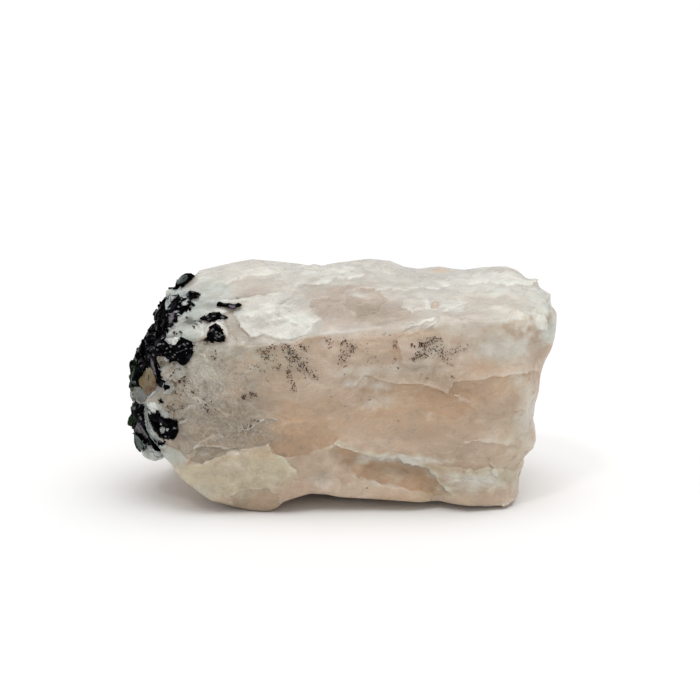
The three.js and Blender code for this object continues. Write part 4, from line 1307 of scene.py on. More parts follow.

# Small places that catch the light, painted as highlights: place, half length and half width in pixels,
# turn and strength
LIT_PLACES = [
    ((178.3, 306.6), (1.2, 0.9), 0, 0.9), ((169.2, 308.6), (1.4, 0.7), -20, 0.7),
    ((176.4, 311.6), (3.2, 1.1), -4, 0.9), ((154.6, 334.4), (1.0, 0.8), 0, 0.9),
    ((157.3, 335.2), (0.9, 0.7), 0, 0.6), ((162.3, 338), (1.8, 0.7), -25, 0.7),
    ((158.3, 344.6), (1.8, 1.0), -40, 0.5), ((154, 348), (1.2, 0.8), 60, 0.4),
    ((157, 349.6), (0.9, 0.7), 0, 0.5), ((170.6, 346.4), (1.6, 0.7), 35, 0.6),
    ((166.8, 348.4), (1.2, 0.7), -40, 0.5), ((165.2, 352.8), (1.2, 0.7), -30, 0.5),
    ((170.2, 351.8), (1.0, 0.7), 0, 0.4), ((174.8, 354.8), (0.9, 0.7), 0, 0.5),
    ((177, 352.4), (1.0, 0.6), -20, 0.45), ((179.2, 346.4), (1.1, 0.8), 0, 0.6),
    ((182, 350.6), (4.0, 0.5), -22, 0.22), ((186.3, 348.6), (0.8, 0.6), 0, 0.7),
    ((184, 344.4), (2.4, 0.7), 38, 0.5), ((187.4, 343.4), (1.5, 0.9), 20, 0.45),
    ((156.4, 310.6), (3.0, 0.9), -58, 0.35), ((154.4, 319), (3.0, 1.0), 40, 0.4),
    ((155.6, 328), (2.4, 0.9), 70, 0.35), ((147.6, 333.6), (2.4, 1.0), -55, 0.3),
    ((142, 342.6), (2.2, 0.9), -60, 0.3), ((137.4, 352), (1.4, 1.6), 0, 0.3),
    ((134.2, 408), (1.4, 2.2), 0, 0.4), ((190.8, 348.5), (0.7, 0.6), 0, 0.5),
    ((178, 359.6), (0.8, 0.6), 0, 0.3), ((187.6, 295.4), (1.0, 0.7), 40, 0.3),
    ((161.6, 371.6), (0.8, 2.0), -14, 0.25), ((146.6, 358.6), (1.0, 0.8), 0, 0.35),
    ((153.3, 355), (1.6, 0.9), 40, 0.35), ((140.4, 418), (2.0, 1.2), 60, 0.55),
    ((138.4, 414.4), (1.0, 0.8), 0, 0.4), ((142.8, 441.2), (0.9, 0.8), 0, 0.7),
    ((151.6, 438.2), (2.0, 0.9), 50, 0.5), ((165.5, 436.6), (0.8, 0.7), 0, 0.6),
    ((215.6, 326.9), (1.2, 0.7), -30, 0.5), ((211.4, 330.6), (0.9, 1.2), 0, 0.4),
    ((216.4, 332), (1.4, 0.7), 0, 0.45), ((220, 333.2), (0.8, 0.7), 0, 0.4),
    ((215.6, 337.6), (1.2, 0.7), 0, 0.4), ((221.6, 335.2), (1.2, 0.7), 20, 0.4),
    ((207.6, 316.8), (1.2, 0.6), -40, 0.4), ((213, 316), (1.0, 0.7), 0, 0.45),
    ((208.6, 319.4), (1.0, 0.6), 0, 0.4), ((222.6, 317), (2.4, 1.1), 20, 0.35),
    ((192.6, 291.8), (2.0, 0.7), 10, 0.3),
]
# crystals flecked with more painted glints
FLECKED_WITH_PAINTED_GLINTS = ("tourmaline_inset_upper", "tourmaline_inset_middle", "tourmaline_upper_chip")

CRYSTAL_CELL = 0.2 * MM
CRYSTAL_FACES = {"Step": 0.2 * MM, "Face size": 2.4 * MM}
CRYSTAL_SWELL = 0.1 * MM
CRYSTAL_RELAX = 2

# A crystal under this size has finer cells and smaller faces
SMALL_CRYSTAL = 4.5 * MM
SMALL_CELL = 0.14 * MM
SMALL_FACES = {"Step": 0.08 * MM, "Face size": 1.2 * MM}

# How deep a plate of crust reaches, the pixels between its inner points, and the share of its
# outline that they fill
GROWTH_DEPTH = 1.6 * MM
GRID_STEP = 1.2
GRID_SHARE = 0.9

# The moss on the left end, in millimetres left of the middle
MOSS_MOST = 0.75
MOSS_FROM = 55.2
MOSS_FADE = 3


def distance_to(carrier, way):
    """How far the carrier is from the camera along a way, or its nearest place if that misses it."""
    far = carrier.ray_cast(Vector(EYE), way)[3]
    if far is None:
        far = (carrier.find_nearest(Vector(EYE) + way * CAMERA_AWAY)[0] - Vector(EYE)).dot(way)
    return far


def crust(bm, outline, rise, carrier):
    """A closed plate that follows what carries it, with the given outline seen from the camera."""
    edge = np.array(outline, float)
    low, high, middle = edge.min(0), edge.max(0), edge.mean(0)
    rows = (np.arange(low[axis], high[axis], GRID_STEP) for axis in (0, 1))
    grid = np.stack(np.meshgrid(*rows), -1).reshape(-1, 2)
    grid = grid[is_inside(grid, middle + (edge - middle) * GRID_SHARE)]
    flat = [Vector(p) for p in np.concatenate([edge, grid])]
    ring = [(i, (i + 1) % len(edge)) for i in range(len(edge))]
    spots, _, faces, *_ = delaunay_2d_cdt(flat, ring, [], 1, 1e-4)
    front, back = [], []
    for spot in spots:
        way = look_through(spot)
        far = distance_to(carrier, way)
        front.append(bm.verts.new(Vector(EYE) + way * (far - rise * MM)))
        back.append(bm.verts.new(Vector(EYE) + way * (far + GROWTH_DEPTH)))
    for face in faces:
        bm.faces.new([front[i] for i in face])
        bm.faces.new([back[i] for i in reversed(face)])
    uses = {}
    for face in faces:
        for a, b in zip(face, face[1:] + face[:1]):
            uses[(a, b)] = uses.get((a, b), 0) + 1
    for a, b in uses:
        if (b, a) not in uses:
            bm.faces.new([front[b], front[a], back[a], back[b]])


def cleavage_tree(material):
    """Small flat faces, each leaning its own way, and fine lines along the crystal."""
    tree, given, out = geometry_tree(
        "cleavage_relief",
        {"Face size": 2.4 * MM, "Face slope": 0.42, "Step": 0.1 * MM, "Line depth": 0.05 * MM, "Seed": 5.0},
    )
    w = Wiring(tree)
    grain = named_input(tree, "grain", "FLOAT_VECTOR")
    moved = w.stretched(seeded(w, w.warped(grain, 3 * MM, 0.3 * MM), given["Seed"]), 0.35)
    tilted, chance = w.flat_faces(moved, given["Face size"], 1.0)
    lines = w.noise(w.stretched(grain, 0.04), 0.7 * MM, 2)
    height = w.times(tilted, given["Face slope"])
    for varied, depth in ((chance, "Step"), (lines, "Line depth")):
        height = w.plus(height, w.times(w.minus(varied, 0.5), given[depth]))
    close_tree(tree, raised(w, given["Mesh"], height), out, material)
    return tree


def own_axes(points):
    """A crystal's own axes, the longest first, one a row."""
    centred = points - points.mean(0)
    _, axes = np.linalg.eigh(centred.T @ centred)
    return axes.T[::-1]


def keep_grain(mesh, axes):
    """Stores each point's place along and across the crystal, for its lines and faces to follow."""
    points = points_of(mesh)
    grain = mesh.attributes.new("grain", "FLOAT_VECTOR", "POINT")
    grain.data.foreach_set("vector", ((points - points.mean(0)) @ axes.T).astype(np.float32).ravel())


def face_field(points, normals, outlines):
    """1 on the points that show inside one of the outlines, 0 on the rest."""
    return (is_inside_any(on_photo(points), outlines) & shows(normals)).astype(float)


def lit_field(points, normals):
    """How strongly each point carries a painted highlight, from the small lit places."""
    spots = on_photo(points)
    found = np.zeros(len(points))
    for at, reach, turn, strength in LIT_PLACES:
        shape = lump_shape(spots, at, reach, turn)
        found = np.maximum(found, strength * smooth(shape * LUMP_RIM) * shows(normals))
    return found


# How far a point may be drawn onto a flat face, how many points such a face has at least, and how
# squarely it has to face the camera
FLAT_REACH = 0.7 * MM
FLAT_LEAST = 60
FLAT_FACING = 0.3


def flattened(points, normals, outlines):
    """Draws what shows inside each outline onto one flat face, along the camera's view."""
    spots = on_photo(points)
    for outline in outlines:
        inside = is_inside(spots, outline) & shows(normals)
        if inside.sum() < FLAT_LEAST:
            continue
        held = points[inside]
        middle = held.mean(0)
        way = np.linalg.svd(held - middle, full_matrices=False)[2][2]
        looks = (held - EYE) / np.linalg.norm(held - EYE, axis=1)[:, None]
        if abs(way @ FORWARD) > FLAT_FACING:
            gap = ((middle - held) @ way) / (looks @ way)
            points[inside] = held + looks * np.clip(gap, -FLAT_REACH, FLAT_REACH)[:, None]
    return points


# Crystals that show nothing outside their outlines; how many pixels they may, and how far off the
# trimming still reaches
TRIMMED = (
    "tourmaline_crown", "tourmaline_upper_chip", "tourmaline_inset_upper", "tourmaline_inset_middle",
    "tourmaline_needle", "tourmaline_lower_blades",
)
TRIM_SPARE = 0.5
TRIM_REACH = 7.0


def trimmed(points, outlines):
    """Draws what shows outside a crystal's outlines back to them, as seen from the camera."""
    spots = on_photo(points)
    gap = np.full(len(points), 1e9)
    foot = spots.copy()
    for outline in outlines:
        corners = np.array(outline, float)
        for a, b in zip(corners, np.roll(corners, -1, axis=0)):
            t = np.clip((spots - a) @ (b - a) / ((b - a) @ (b - a)), 0, 1)
            near = a + t[:, None] * (b - a)
            away = np.linalg.norm(spots - near, axis=1)
            closer = away < gap
            gap = np.where(closer, away, gap)
            foot = np.where(closer[:, None], near, foot)
    moved = ~is_inside_any(spots, outlines) & (gap > TRIM_SPARE) & (gap < TRIM_REACH)
    goal = foot + (spots - foot) * (TRIM_SPARE / np.maximum(gap, 1e-6))[:, None]
    return moved_on_photo(points, np.where(moved[:, None], goal - spots, 0.0))


def crystal_piece(node, number, carrier):
    """A packed crystal worked finer, with its faces, lines and lit places."""
    solid = merged_mesh([node], CRYSTAL_SWELL)
    axes = own_axes(points_of(solid))
    is_small = np.ptp(points_of(solid), axis=0).max() < SMALL_CRYSTAL
    growth = GROWTH.get(node, [])
    outlines = [outline for outline, _ in growth]
    bm = bmesh.new()
    bm.from_mesh(solid)
    for outline, rise in growth:
        crust(bm, outline, rise, carrier)
    mesh = even_cells(mesh_from(bm, node), SMALL_CELL if is_small else CRYSTAL_CELL, node)
    if node in TRIMMED:
        set_points(mesh, trimmed(points_of(mesh), outlines))
    relax(mesh, CRYSTAL_RELAX)
    keep_grain(mesh, axes)
    faces = SMALL_FACES if is_small else CRYSTAL_FACES
    mesh = worked(mesh, cleavage, {"Seed": float(number), **faces}, node)
    flat = flattened(points_of(mesh), normals_of(mesh), PAINTED_SILVER_SHEEN_FACES + PAINTED_TEAL_SHEEN_FACES)
    if node in TRIMMED:
        flat = trimmed(flat, outlines)
    set_points_inside(mesh, flat)
    points, normals = points_of(mesh), normals_of(mesh)
    # painted highlights: the faces with a lilac-grey sheen and with a teal-grey sheen, and the lit places
    keep_field(mesh, "painted_silver_sheen", face_field(points, normals, PAINTED_SILVER_SHEEN_FACES))
    keep_field(mesh, "painted_teal_sheen", face_field(points, normals, PAINTED_TEAL_SHEEN_FACES))
    keep_field(mesh, "lit", lit_field(points, normals))
    keep_field(mesh, "flecked_with_painted_glints", np.full(len(points), float(node in FLECKED_WITH_PAINTED_GLINTS)))
    keep_field(mesh, "moss", MOSS_MOST * smooth((-points[:, 0] / MM - MOSS_FROM) / MOSS_FADE))
    return placed(node.replace("tourmaline", "crystal"), mesh)


solids_tree = tree_of(joined_mesh([stone.data, merged_mesh(CRYSTALS)], "carriers"))
cleavage = cleavage_tree(black_finish)
crystals = {node: crystal_piece(node, i, solids_tree) for i, node in enumerate(CRYSTALS)}

# How far under a crystal's skin the stone is drawn, how close over the skin it may come, from how
# deep behind the skin it is drawn out, how far away a crystal is looked for, and how far a point
# may be turned from the camera
TUCK = 0.5 * MM
TUCK_OVER = 0.3 * MM
TUCK_DEEP = 4 * MM
TUCK_SEARCH = 3 * MM
TURNED_AWAY = 0.2

# How far from the crystals the stone between them is black, and over how far that fades, in mm
SOOT_FROM = 0.9
SOOT_FADE = 0.8


def tuck_under(points, normals, tree, untrimmed):
    """Draws the stone's points that lie in or close over a crystal in under its skin."""
    tucked = points.copy()
    outlines = [outline for growth in GROWTH.values() for outline, _ in growth]
    covered = is_inside_any(on_photo(points), outlines) & (normals @ FORWARD < TURNED_AWAY)
    for i in np.flatnonzero(covered):
        away = Vector(points[i] - EYE)
        far = tree.ray_cast(Vector(EYE), away.normalized())[3]
        if far is not None and far + TUCK > away.length > far - TUCK_DEEP:
            tucked[i] = EYE + np.array(away.normalized()) * (far + TUCK)
    beside = ~covered & shows(normals)
    for i, p in enumerate(tucked.copy()):
        near, way, _, gap = (untrimmed if beside[i] else tree).find_nearest(Vector(p), TUCK_SEARCH)
        if near is None:
            continue
        outside = (Vector(p) - near).dot(way) > 0
        if not outside or gap < TUCK_OVER:
            tucked[i] = near - way * TUCK
    return tucked, covered


def soot_field(points, covered, tree):
    """1 on the stone that the crystals cover, where they are near, and 0 elsewhere."""
    soot = covered.astype(float)
    for i in np.flatnonzero(covered):
        gap = tree.find_nearest(Vector(points[i]))[3] / MM
        soot[i] = 1 - smooth((gap - SOOT_FROM) / SOOT_FADE)
    return soot


def crystal_skins(left_out=()):
    """One mesh of the worked crystals, without those left out."""
    return joined_mesh([crystals[node].data for node in CRYSTALS if node not in left_out], "crystal_skins")


crust_tree = tree_of(crystal_skins())
tucked_points, between_crystals = tuck_under(
    points_of(stone.data), normals_of(stone.data), crust_tree, tree_of(crystal_skins(TRIMMED))
)
set_points(stone.data, tucked_points)
keep_field(stone.data, "soot", soot_field(tucked_points, between_crystals, crust_tree))
stone.data = thinned(stone.data, QUARTZ_TRIANGLES, "quartz_stone")
set_points_inside(stone.data, points_of(stone.data))


# Plates of quartz laid over the stone and between the crystals: outlines in pixels, how far they
# stand out in millimetres, and tints

def ribbon(line, width):
    """A closed outline round a line, narrower at its ends and a little uneven."""
    line = np.array(line, float)
    way = np.gradient(line, axis=0)
    way /= np.linalg.norm(way, axis=1)[:, None]
    aside = np.stack([way[:, 1], -way[:, 0]], 1)
    turns = np.arange(len(line))
    narrow = np.sin(np.linspace(0.35, math.pi - 0.35, len(line)))
    half = width / 2 * narrow * (1 + 0.3 * np.sin(2.3 * turns))
    edges = line + aside * half[:, None], (line - aside * 0.8 * half[:, None])[::-1]
    return [tuple(p) for p in np.concatenate(edges)]


PLATES = [
    # the amber quartz between the crystals, and the grey-green lump under it
    ([(150.8, 367), (145.4, 371), (138.7, 380), (139.7, 385), (144, 388.5), (147.3, 396.5), (155, 390),
      (157, 387.5), (156, 381), (153.7, 373)], 0.2, {"amber": 1.0, "veined": 0.5}),
    ([(153.4, 380), (150.6, 384), (146.4, 385.6), (144.6, 388.6), (147.3, 396), (151, 393), (156.6, 388),
      (156, 382)], 0.22, {"resin": 1.0, "veined": 0.3}),
    ([(130.6, 388.8), (136, 387), (140.5, 387), (144, 390), (147.3, 396.5), (145.4, 401), (141, 403),
      (134.5, 402.5), (131, 397)], 0.3, {"grey_green": 1.0, "veined": 0.8}),
    # the pale foot of the sheet, under the tail of the crystals
    ([(150.5, 453), (155, 453.4), (160, 453), (164, 455.4), (162.4, 458.8), (156, 459.8), (151.4, 458)],
      0.3, {"ice": 0.7, "dove": 0.3, "veined": 0.5}),
    # the thin bright rim of the sheet left of the block, white quartz whose brightness is partly a painted
    # highlight, and the rim over it
    (ribbon([(147, 401), (145.4, 404), (144.6, 408), (144.4, 412), (144.6, 416), (145.2, 420),
      (146.2, 424), (147.4, 428), (149, 432), (151, 436), (153.4, 440), (156, 443.6), (159, 447.4),
      (161.5, 450.5)], 1.7), 0.2, {"ice": 0.6, "frost": 0.6}),
    (ribbon([(164.6, 380.6), (163.7, 384), (162.8, 387.2), (160.6, 388.6), (158, 389.4), (155.4, 391.2),
      (152.4, 394), (149.4, 397)], 1.6), 0.3, {"lilac": 1.0, "ice": 0.45, "frost": 0.25}),
    # stone over the foot of the prism, round its small black end
    ([(163.4, 390.2), (168.6, 389.3), (170.6, 387.8), (169.6, 385.6), (166.8, 384.6), (164.6, 384.6),
      (165.4, 381.6), (169, 380.6), (174, 383), (175, 389), (170.6, 394), (163, 394)],
      0.45, {"dove": 0.95, "ice": 0.25, "dim": 0.2, "veined": 0.6}),
    # the sheet between the rim and the block
    ([(145.6, 408), (148.2, 412), (148.6, 417.6), (151, 422.8), (152.6, 427.2), (153.4, 430.4),
      (155.4, 432.8), (157.6, 434.2), (158.4, 437), (162.4, 439.6), (156.6, 440), (156.8, 443.4),
      (153, 440), (150, 435), (147.6, 428), (146, 420), (145, 413)],
      0.1, {"ice": 1.0, "grey_green": 0.4, "veined": 0.7}),
    # pale quartz over the corner of the crystals, down between two of them
    ([(165.8, 290.8), (169, 289.8), (176, 289.9), (183, 290.6), (187, 292.8), (186, 294.8), (183, 296.2),
      (180.4, 297.6), (179.4, 295.4), (176.6, 297.2), (173, 300.4), (170.2, 303.6), (167.6, 307.2),
      (167.2, 311.4), (165.6, 308), (165, 304), (166.6, 300.6), (168.8, 297.6), (166.6, 295.6)],
      0.2, {"ice": 0.9, "frost": 0.25}),
    # pale crystals set in the block
    ([(160, 427.5), (162.4, 426.4), (164.8, 427), (165.4, 429.6), (164.2, 433), (161, 433.8),
      (159.8, 430.6)], 0.1, {"ice": 1.0, "grey_green": 0.5, "veined": 1.0}),
    ([(160, 422.4), (162, 422.8), (161.8, 425.6), (159.8, 425.6)], 0.1, {"ice": 1.0, "grey_green": 0.2}),
    ([(166.4, 428), (168.6, 428.6), (168.4, 431), (166.4, 431.4)], 0.1, {"ice": 1.0, "grey_green": 0.2}),
    # brown quartz by the mass
    ([(157, 358), (158.6, 355.8), (160.6, 356.4), (163.2, 355.8), (164.2, 358.6), (165.2, 362),
      (165, 365.4), (161.4, 367.8), (159.4, 365), (157.6, 361.4)],
      0.25, {"dim": 0.9, "grey_green": 0.35, "veined": 0.6}),
    ([(163.4, 356.4), (164.8, 356), (166.6, 358.6), (167.5, 361), (166.4, 361.8), (164.6, 359.8)],
      0.35, {"ice": 0.6, "frost": 0.8}),
    # a pale wedge at the top of the mass
    ([(165.8, 339.4), (171, 338.6), (176.6, 339.4), (174.6, 343.2), (172.6, 344.8), (169.4, 343.6),
      (167, 341.8)], 0.25, {"frost": 0.4, "milk": 0.5, "veined": 0.4}),
]
PLATE_CELL = 0.2 * MM
PLATE_RELAX = 3
PLATE_BROKEN = 0.35


def quartz_plates(carrier):
    """All the plates as one mesh, each with its tints."""
    parts = []
    for outline, rise, tint in PLATES:
        bm = bmesh.new()
        crust(bm, outline, rise, carrier)
        part = even_cells(mesh_from(bm, "plate"), PLATE_CELL, "plate")
        relax(part, PLATE_RELAX)
        everywhere = np.ones(len(part.vertices))
        keep_field(part, "broken", PLATE_BROKEN * everywhere)
        for name in TINTS:
            keep_field(part, name, tint.get(name, 0.0) * everywhere)
        parts.append(part)
    mesh = worked(joined_mesh(parts, "plates"), fracture, {"Bowl size": 5 * MM}, "quartz_plates")
    set_points_inside(mesh, points_of(mesh))
    keep_edges(mesh)
    return mesh


everything = [stone.data] + [crystal.data for crystal in crystals.values()]
plates = placed("quartz_plates", quartz_plates(tree_of(joined_mesh(everything, "carriers"))))


# Grains on the stone. Each stroke is where a patch of grains starts and ends, in pixels, how far
# they stray from its middle, how many there are, their size in millimetres, and how rusty they are

GRAIN_STROKES = [
    ((257, 352), (265, 350), 2.4, 14, 0.38, 0.1), ((264, 349), (278, 346), 2.0, 18, 0.38, 0.05),
    ((267, 352), (273, 362), 3.0, 32, 0.4, 0), ((272, 363), (280, 370), 2.2, 14, 0.36, 0),
    ((284, 343), (291, 355), 3.2, 46, 0.42, 0), ((290, 346), (296, 352), 3.0, 14, 0.38, 0),
    ((296, 342), (306, 350), 2.4, 22, 0.38, 0.1), ((292, 355), (302, 364), 3.2, 42, 0.4, 0),
    ((300, 366), (312, 375), 4.4, 44, 0.4, 0.05), ((313, 376), (320, 380), 1.4, 7, 0.38, 0),
    ((289, 368), (291, 378), 2.0, 22, 0.4, 0), ((291, 380), (294, 388), 2.2, 16, 0.42, 0.05),
    ((256, 365), (268, 378), 2.4, 16, 0.36, 0), ((247, 367), (250, 368), 0.8, 3, 0.34, 0),
    ((242, 398), (244, 397), 0.9, 9, 0.6, 0), ((248, 396), (255, 393), 2.0, 16, 0.55, 0),
    ((326, 339), (333, 344), 1.6, 12, 0.36, 0), ((327, 349), (333, 346), 1.2, 5, 0.36, 0),
    ((342, 340), (353, 343), 1.8, 16, 0.36, 0), ((341, 343), (344, 350), 1.6, 10, 0.36, 0),
    ((353, 344), (353, 352), 1.6, 20, 0.38, 0), ((348, 352), (341, 361), 3.0, 34, 0.38, 0),
    ((343, 360), (344, 366), 1.4, 9, 0.36, 0), ((338, 363), (339, 364), 0.5, 2, 0.36, 0),
    ((357, 344), (384, 364), 6.0, 16, 0.32, 0), ((383, 333), (390, 334), 0.8, 4, 0.34, 0),
    ((395, 340), (397, 348), 1.3, 10, 0.38, 0.1), ((393, 364), (398, 357), 1.6, 6, 0.36, 0),
    ((397.8, 368), (398.2, 368.4), 0.2, 3, 0.5, 0), ((411, 346.5), (420, 343.5), 1.5, 20, 0.38, 0.1),
    ((419, 346), (431, 343), 2.6, 50, 0.38, 0.1), ((430, 341), (442, 339), 2.8, 34, 0.36, 0),
    ((412, 362), (420, 354), 2.2, 28, 0.38, 0), ((420, 357), (428, 352), 2.4, 26, 0.38, 0),
    ((428, 350), (442, 350), 3.4, 38, 0.36, 0), ((442, 352), (449, 362), 2.6, 26, 0.36, 0),
    ((450, 352), (462, 349), 2.2, 20, 0.34, 0), ((465, 350), (468, 346), 1.2, 6, 0.36, 0),
    ((419, 371), (427, 378), 1.2, 3, 0.36, 0), ((444, 376), (455, 377), 1.2, 9, 0.36, 0.1),
    ((341, 372), (345, 375), 0.6, 3, 0.36, 0), ((300, 385), (330, 395), 9.0, 6, 0.3, 0),
    ((172.8, 372.8), (175, 372.2), 0.35, 7, 0.5, 0.5), ((169.8, 376.6), (171.2, 375), 0.3, 5, 0.42, 0.2),
    ((173.4, 368.6), (182, 370), 0.8, 9, 0.4, 0.2), ((181.6, 378.6), (185, 376.6), 0.3, 9, 0.6, 0.8),
    ((179.2, 380.6), (180.2, 382.6), 0.35, 8, 0.66, 0.9),
    ((183, 380.6), (188, 381.6), 0.8, 8, 0.42, 0.3), ((172, 378.8), (175, 384), 1.0, 7, 0.42, 0.1),
    ((184.2, 385.6), (184.4, 386), 0.3, 3, 0.44, 0), ((174, 397), (180, 392), 2.4, 10, 0.4, 0.2),
    ((190.6, 391.2), (193.8, 392.8), 0.3, 8, 0.48, 0), ((180, 386), (214, 402), 7.0, 26, 0.34, 0.2),
    ((165, 404), (172, 411), 2.6, 14, 0.42, 0.2), ((177, 406), (183, 408), 1.8, 9, 0.42, 0.1),
    ((174, 410), (175, 410.4), 0.3, 4, 0.6, 0), ((200, 404), (212, 409), 3.0, 16, 0.4, 0.1),
    ((215, 350.5), (217, 356), 0.4, 7, 0.4, 0.2), ((210.5, 356.5), (214, 356.5), 0.4, 5, 0.4, 0.2),
    ((212.5, 360), (218.4, 356.5), 0.4, 8, 0.4, 0.2), ((221, 360), (222.5, 360), 0.3, 2, 0.36, 0.2),
    ((244, 427), (252, 425), 1.8, 12, 0.42, 0), ((250, 420), (258, 420.5), 0.7, 9, 0.42, 0.1),
    ((174, 331), (174.5, 335), 0.7, 8, 0.6, 1), ((177, 332), (177, 336), 0.6, 6, 0.5, 1),
    ((180, 331), (181, 333), 0.7, 6, 0.5, 0.8), ((236, 298), (244, 301), 1.2, 6, 0.34, 0.4),
    ((191.5, 326.8), (195.5, 326.8), 0.6, 6, 0.5, 0.8), ((203, 343.6), (210, 344.4), 0.8, 6, 0.4, 1),
    ((186, 316), (187.5, 318.5), 0.6, 5, 0.5, 0.4), ((166, 299), (168, 297), 0.8, 5, 0.5, 0.9),
    ((148, 409), (150, 411), 0.7, 8, 0.6, 0.1), ((132, 386), (131.6, 396), 1.0, 14, 0.5, 0),
    ((133, 399), (138, 402.5), 1.0, 8, 0.5, 0), ((228, 300), (236, 299), 1.6, 5, 0.3, 0.2),
    ((369, 400), (370, 400), 0.1, 2, 0.42, 0), ((398, 421), (399, 421), 0.1, 2, 0.42, 0),
    ((366, 488), (367, 488), 0.1, 2, 0.42, 0), ((463.5, 471.8), (464, 472), 0.1, 2, 0.36, 0),
    ((381, 269), (382, 269), 0.1, 2, 0.36, 0),
]
GRAIN_SEED = 11

# The grains of a stroke lie round nests: how far nests and grains stray, as shares of the stroke's
# own, how many grains there are for each that it names, their sizes, and how far they stand out
NEST_STRAY = 0.6
GRAIN_STRAY = 0.65
GRAIN_COUNT = 1.3
GRAIN_SIZES = (0.55, 1.1)
GRAIN_STANDS = 0.15

FAR_GRAINS = 150
FAR_SIZES = (0.3, 0.6)
FAR_RUST = 0.2
FULL_TURN = 6.28


def front_grains(carrier, chance):
    """Places, ways out, sizes and rust of the grains on the front."""
    found = []
    for start, end, stray, count, size, rust in GRAIN_STROKES:
        start, end = np.array(start, float), np.array(end, float)
        nests = start + chance.random((1 + count // 2, 1)) * (end - start)
        nests = nests + chance.normal(0, NEST_STRAY * stray, nests.shape)
        for _ in range(round(GRAIN_COUNT * count)):
            spot = nests[chance.integers(len(nests))] + chance.normal(0, GRAIN_STRAY * stray, 2)
            place, way, *_ = carrier.ray_cast(Vector(EYE), look_through(spot))
            if place is not None:
                found.append((place, way, size * MM * chance.uniform(*GRAIN_SIZES), rust))
    return found


def far_grains(mesh, chance):
    """The same for the back and the ends, thickest behind the crystals."""
    points, normals = points_of(mesh), normals_of(mesh)
    across, _, up = (points / MM).T
    hidden = (normals @ FORWARD > FACING_LEAST) & (points[:, 2] > 3 * MM)
    left_end = np.exp(-(((across + 52) / 9) ** 2))
    back_patch = np.exp(-(((across - 12) / 16) ** 2) - ((up - 40) / 9) ** 2)
    weight = hidden * (left_end + 0.35 * back_patch + 0.01)
    chosen = chance.choice(len(points), FAR_GRAINS, replace=False, p=weight / weight.sum())
    return [
        (Vector(points[i]), Vector(normals[i]), chance.uniform(*FAR_SIZES) * MM, FAR_RUST) for i in chosen
    ]


def strew(tree, points, shape, turn, size, out, material):
    """Ends a tree with a copy of a shape on every point, turned and sized."""
    copies = add_node(
        tree, "GeometryNodeInstanceOnPoints", Points=points, Instance=shape, Rotation=turn, Scale=size
    )
    close_tree(tree, copies.outputs[0], out, material)


def grain_tree(material):
    """A small angular grain on every point, turned by chance."""
    tree, given, out = geometry_tree("grain_scatter", {"Thickness": 0.8, "Seed": 3.0})
    w = Wiring(tree)
    grain = add_node(tree, "GeometryNodeMeshIcoSphere", Radius=0.5, Subdivisions=1).outputs[0]
    angles = chance_vector(tree, (0, 0, 0), (FULL_TURN,) * 3, given["Seed"])
    shape = chance_vector(tree, (0.7, 0.7, 0.6), (1.3, 1.2, 1.0), w.plus(given["Seed"], 1.0))
    flat = add_node(tree, "ShaderNodeCombineXYZ", _0=1.0, _1=1.0, _2=given["Thickness"]).outputs[0]
    shape = w.vector("MULTIPLY", w.scaled(shape, named_input(tree, "size")), flat)
    strew(tree, given["Mesh"], grain, turned(tree, angles), shape, out, material)
    return tree


def stone_grains():
    """All the grains as one mesh."""
    chance = np.random.default_rng(GRAIN_SEED)
    found = front_grains(tree_of(joined_mesh([stone.data, plates.data], "stone")), chance)
    found += far_grains(stone.data, chance)
    mesh = bpy.data.meshes.new("grain_places")
    mesh.from_pydata([place + way * GRAIN_STANDS * size for place, way, size, _ in found], [], [])
    keep_field(mesh, "size", np.array([size for _, _, size, _ in found]))
    keep_field(mesh, "rust", np.array([rust for _, _, _, rust in found]))
    mesh = worked(mesh, grain_tree(speck_finish), {}, "stone_grains")
    set_points_inside(mesh, points_of(mesh))
    return mesh


grains = placed("stone_grains", stone_grains())


# Splinters of tourmaline, scattered over the crystals, and how far they lean

LEAN = 0.9


def splinter_tree(material):
    """Short five-sided splinters, standing off the surface at all angles."""
    tree, given, out = geometry_tree(
        "splinter_scatter",
        {"Splinters a square metre": 0.9e5, "Thickness": 0.36 * MM, "Length": 0.34 * MM, "Seed": 8.0},
    )
    w = Wiring(tree)
    spread = add_node(
        tree, "GeometryNodeDistributePointsOnFaces",
        Mesh=given["Mesh"], Density=given["Splinters a square metre"], Seed=given["Seed"],
    ).outputs
    splinter = add_node(
        tree, "GeometryNodeMeshCone", {"fill_type": "NGON"},
        Vertices=5, Radius_Top=0.28, Radius_Bottom=0.5, Depth=1.0,
    ).outputs[0]
    angles = chance_vector(tree, (-LEAN, -LEAN, 0), (LEAN, LEAN, FULL_TURN), w.plus(given["Seed"], 1.0))
    turn = add_node(
        tree, "FunctionNodeRotateRotation", {"rotation_space": "LOCAL"},
        _0=spread["Rotation"], _1=turned(tree, angles),
    ).outputs[0]
    size = add_node(
        tree, "FunctionNodeRandomValue", {"data_type": "FLOAT"},
        _2=0.5, _3=1.5, Seed=w.plus(given["Seed"], 2.0),
    ).outputs[1]
    shape = add_node(
        tree, "ShaderNodeCombineXYZ", _0=given["Thickness"], _1=given["Thickness"], _2=given["Length"]
    ).outputs[0]
    strew(tree, spread["Points"], splinter, turn, w.scaled(shape, size), out, material)
    return tree


SMOOTH_CRYSTALS = ("tourmaline_needle",)
splinter_mesh = worked(
    crystal_skins(SMOOTH_CRYSTALS), splinter_tree(black_finish), {}, "tourmaline_splinters"
)
set_points_inside(splinter_mesh, points_of(splinter_mesh))
splinters = placed("tourmaline_splinters", splinter_mesh)


# What each piece stands for, and the angles in degrees from which its edges are crisp

STONE_CRISP = 38
CRYSTAL_CRISP = 22
SPECK_CRISP = 20


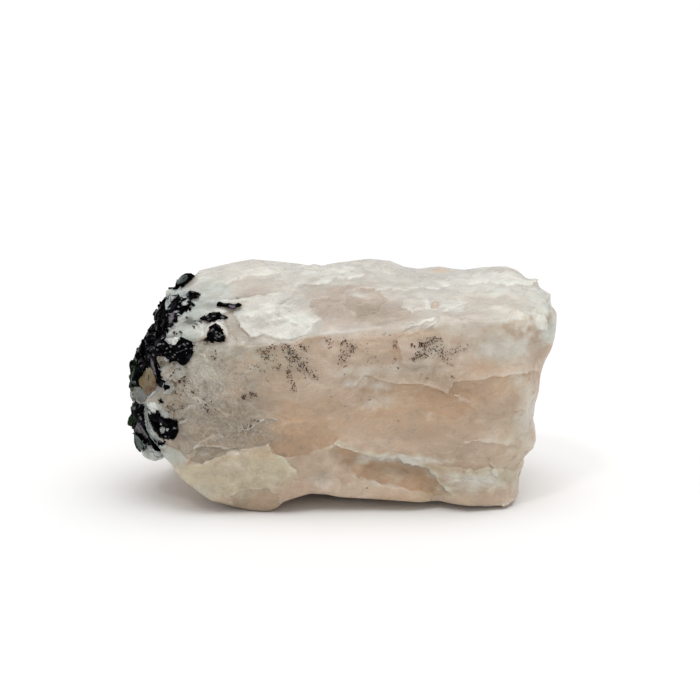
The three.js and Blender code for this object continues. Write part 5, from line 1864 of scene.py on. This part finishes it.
def finish_piece(piece, material, crisp):
    """Gives a piece its material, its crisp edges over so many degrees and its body."""
    piece.data.materials.clear()
    piece.data.materials.append(material)
    sharpen(piece.data, crisp)
    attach(piece, "root")


finish_piece(stone, quartz_finish, STONE_CRISP)
finish_piece(plates, quartz_finish, STONE_CRISP)
finish_piece(grains, speck_finish, SPECK_CRISP)
finish_piece(splinters, black_finish, SPECK_CRISP)
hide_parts("quartz")
for node, crystal in crystals.items():
    if node == "tourmaline_green_stub":
        finish_piece(crystal, green_finish, CRYSTAL_CRISP)
    else:
        finish_piece(crystal, black_finish, CRYSTAL_CRISP)
    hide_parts(node)


# The room: a pale floor, soft light from above and the camera

FLOOR_HALF = 4.0
ROOM_LIGHT = 0.54
CORNERS = ((-1, -1), (1, -1), (1, 1), (-1, 1))


def flat_floor():
    """A pale sheet that the stone lies on."""
    mesh = bpy.data.meshes.new("floor")
    mesh.from_pydata([(x * FLOOR_HALF, y * FLOOR_HALF, 0) for x, y in CORNERS], [], [(0, 1, 2, 3)])
    floor = placed("floor", mesh)
    mesh.materials.append(plain_material("pale_paper", (0.93, 0.93, 0.93), 0.9))


flat_floor()

world = bpy.data.worlds.new("soft_room")
world.use_nodes = True
plug(world.node_tree.nodes["Background"], Color=(1, 1, 1, 1), Strength=ROOM_LIGHT)
bpy.context.scene.world = world


def lamp(name, energy, spread, way):
    """A light from far away, spread over so many degrees and shining one way."""
    data = bpy.data.lights.new(name, "SUN")
    data.energy = energy
    data.angle = math.radians(spread)
    placed(name, data).rotation_euler = Vector(way).to_track_quat("-Z", "Y").to_euler()


lamp("overhead", 1.6, 55, (-0.16, 0.04, -1))
lamp("glint", 0.3, 8, (0.3, 0.45, -0.85))

camera_data = bpy.data.cameras.new("camera")
camera_data.lens = LENS
camera_data.sensor_width = SENSOR
camera_data.clip_start = 0.01
camera_data.clip_end = 20
camera = placed("camera", camera_data)
camera.location = Vector(EYE)
camera.rotation_euler = Vector(FORWARD).to_track_quat("-Z", "Y").to_euler()
bpy.context.scene.camera = camera
bpy.context.scene.view_settings.view_transform = "Standard"
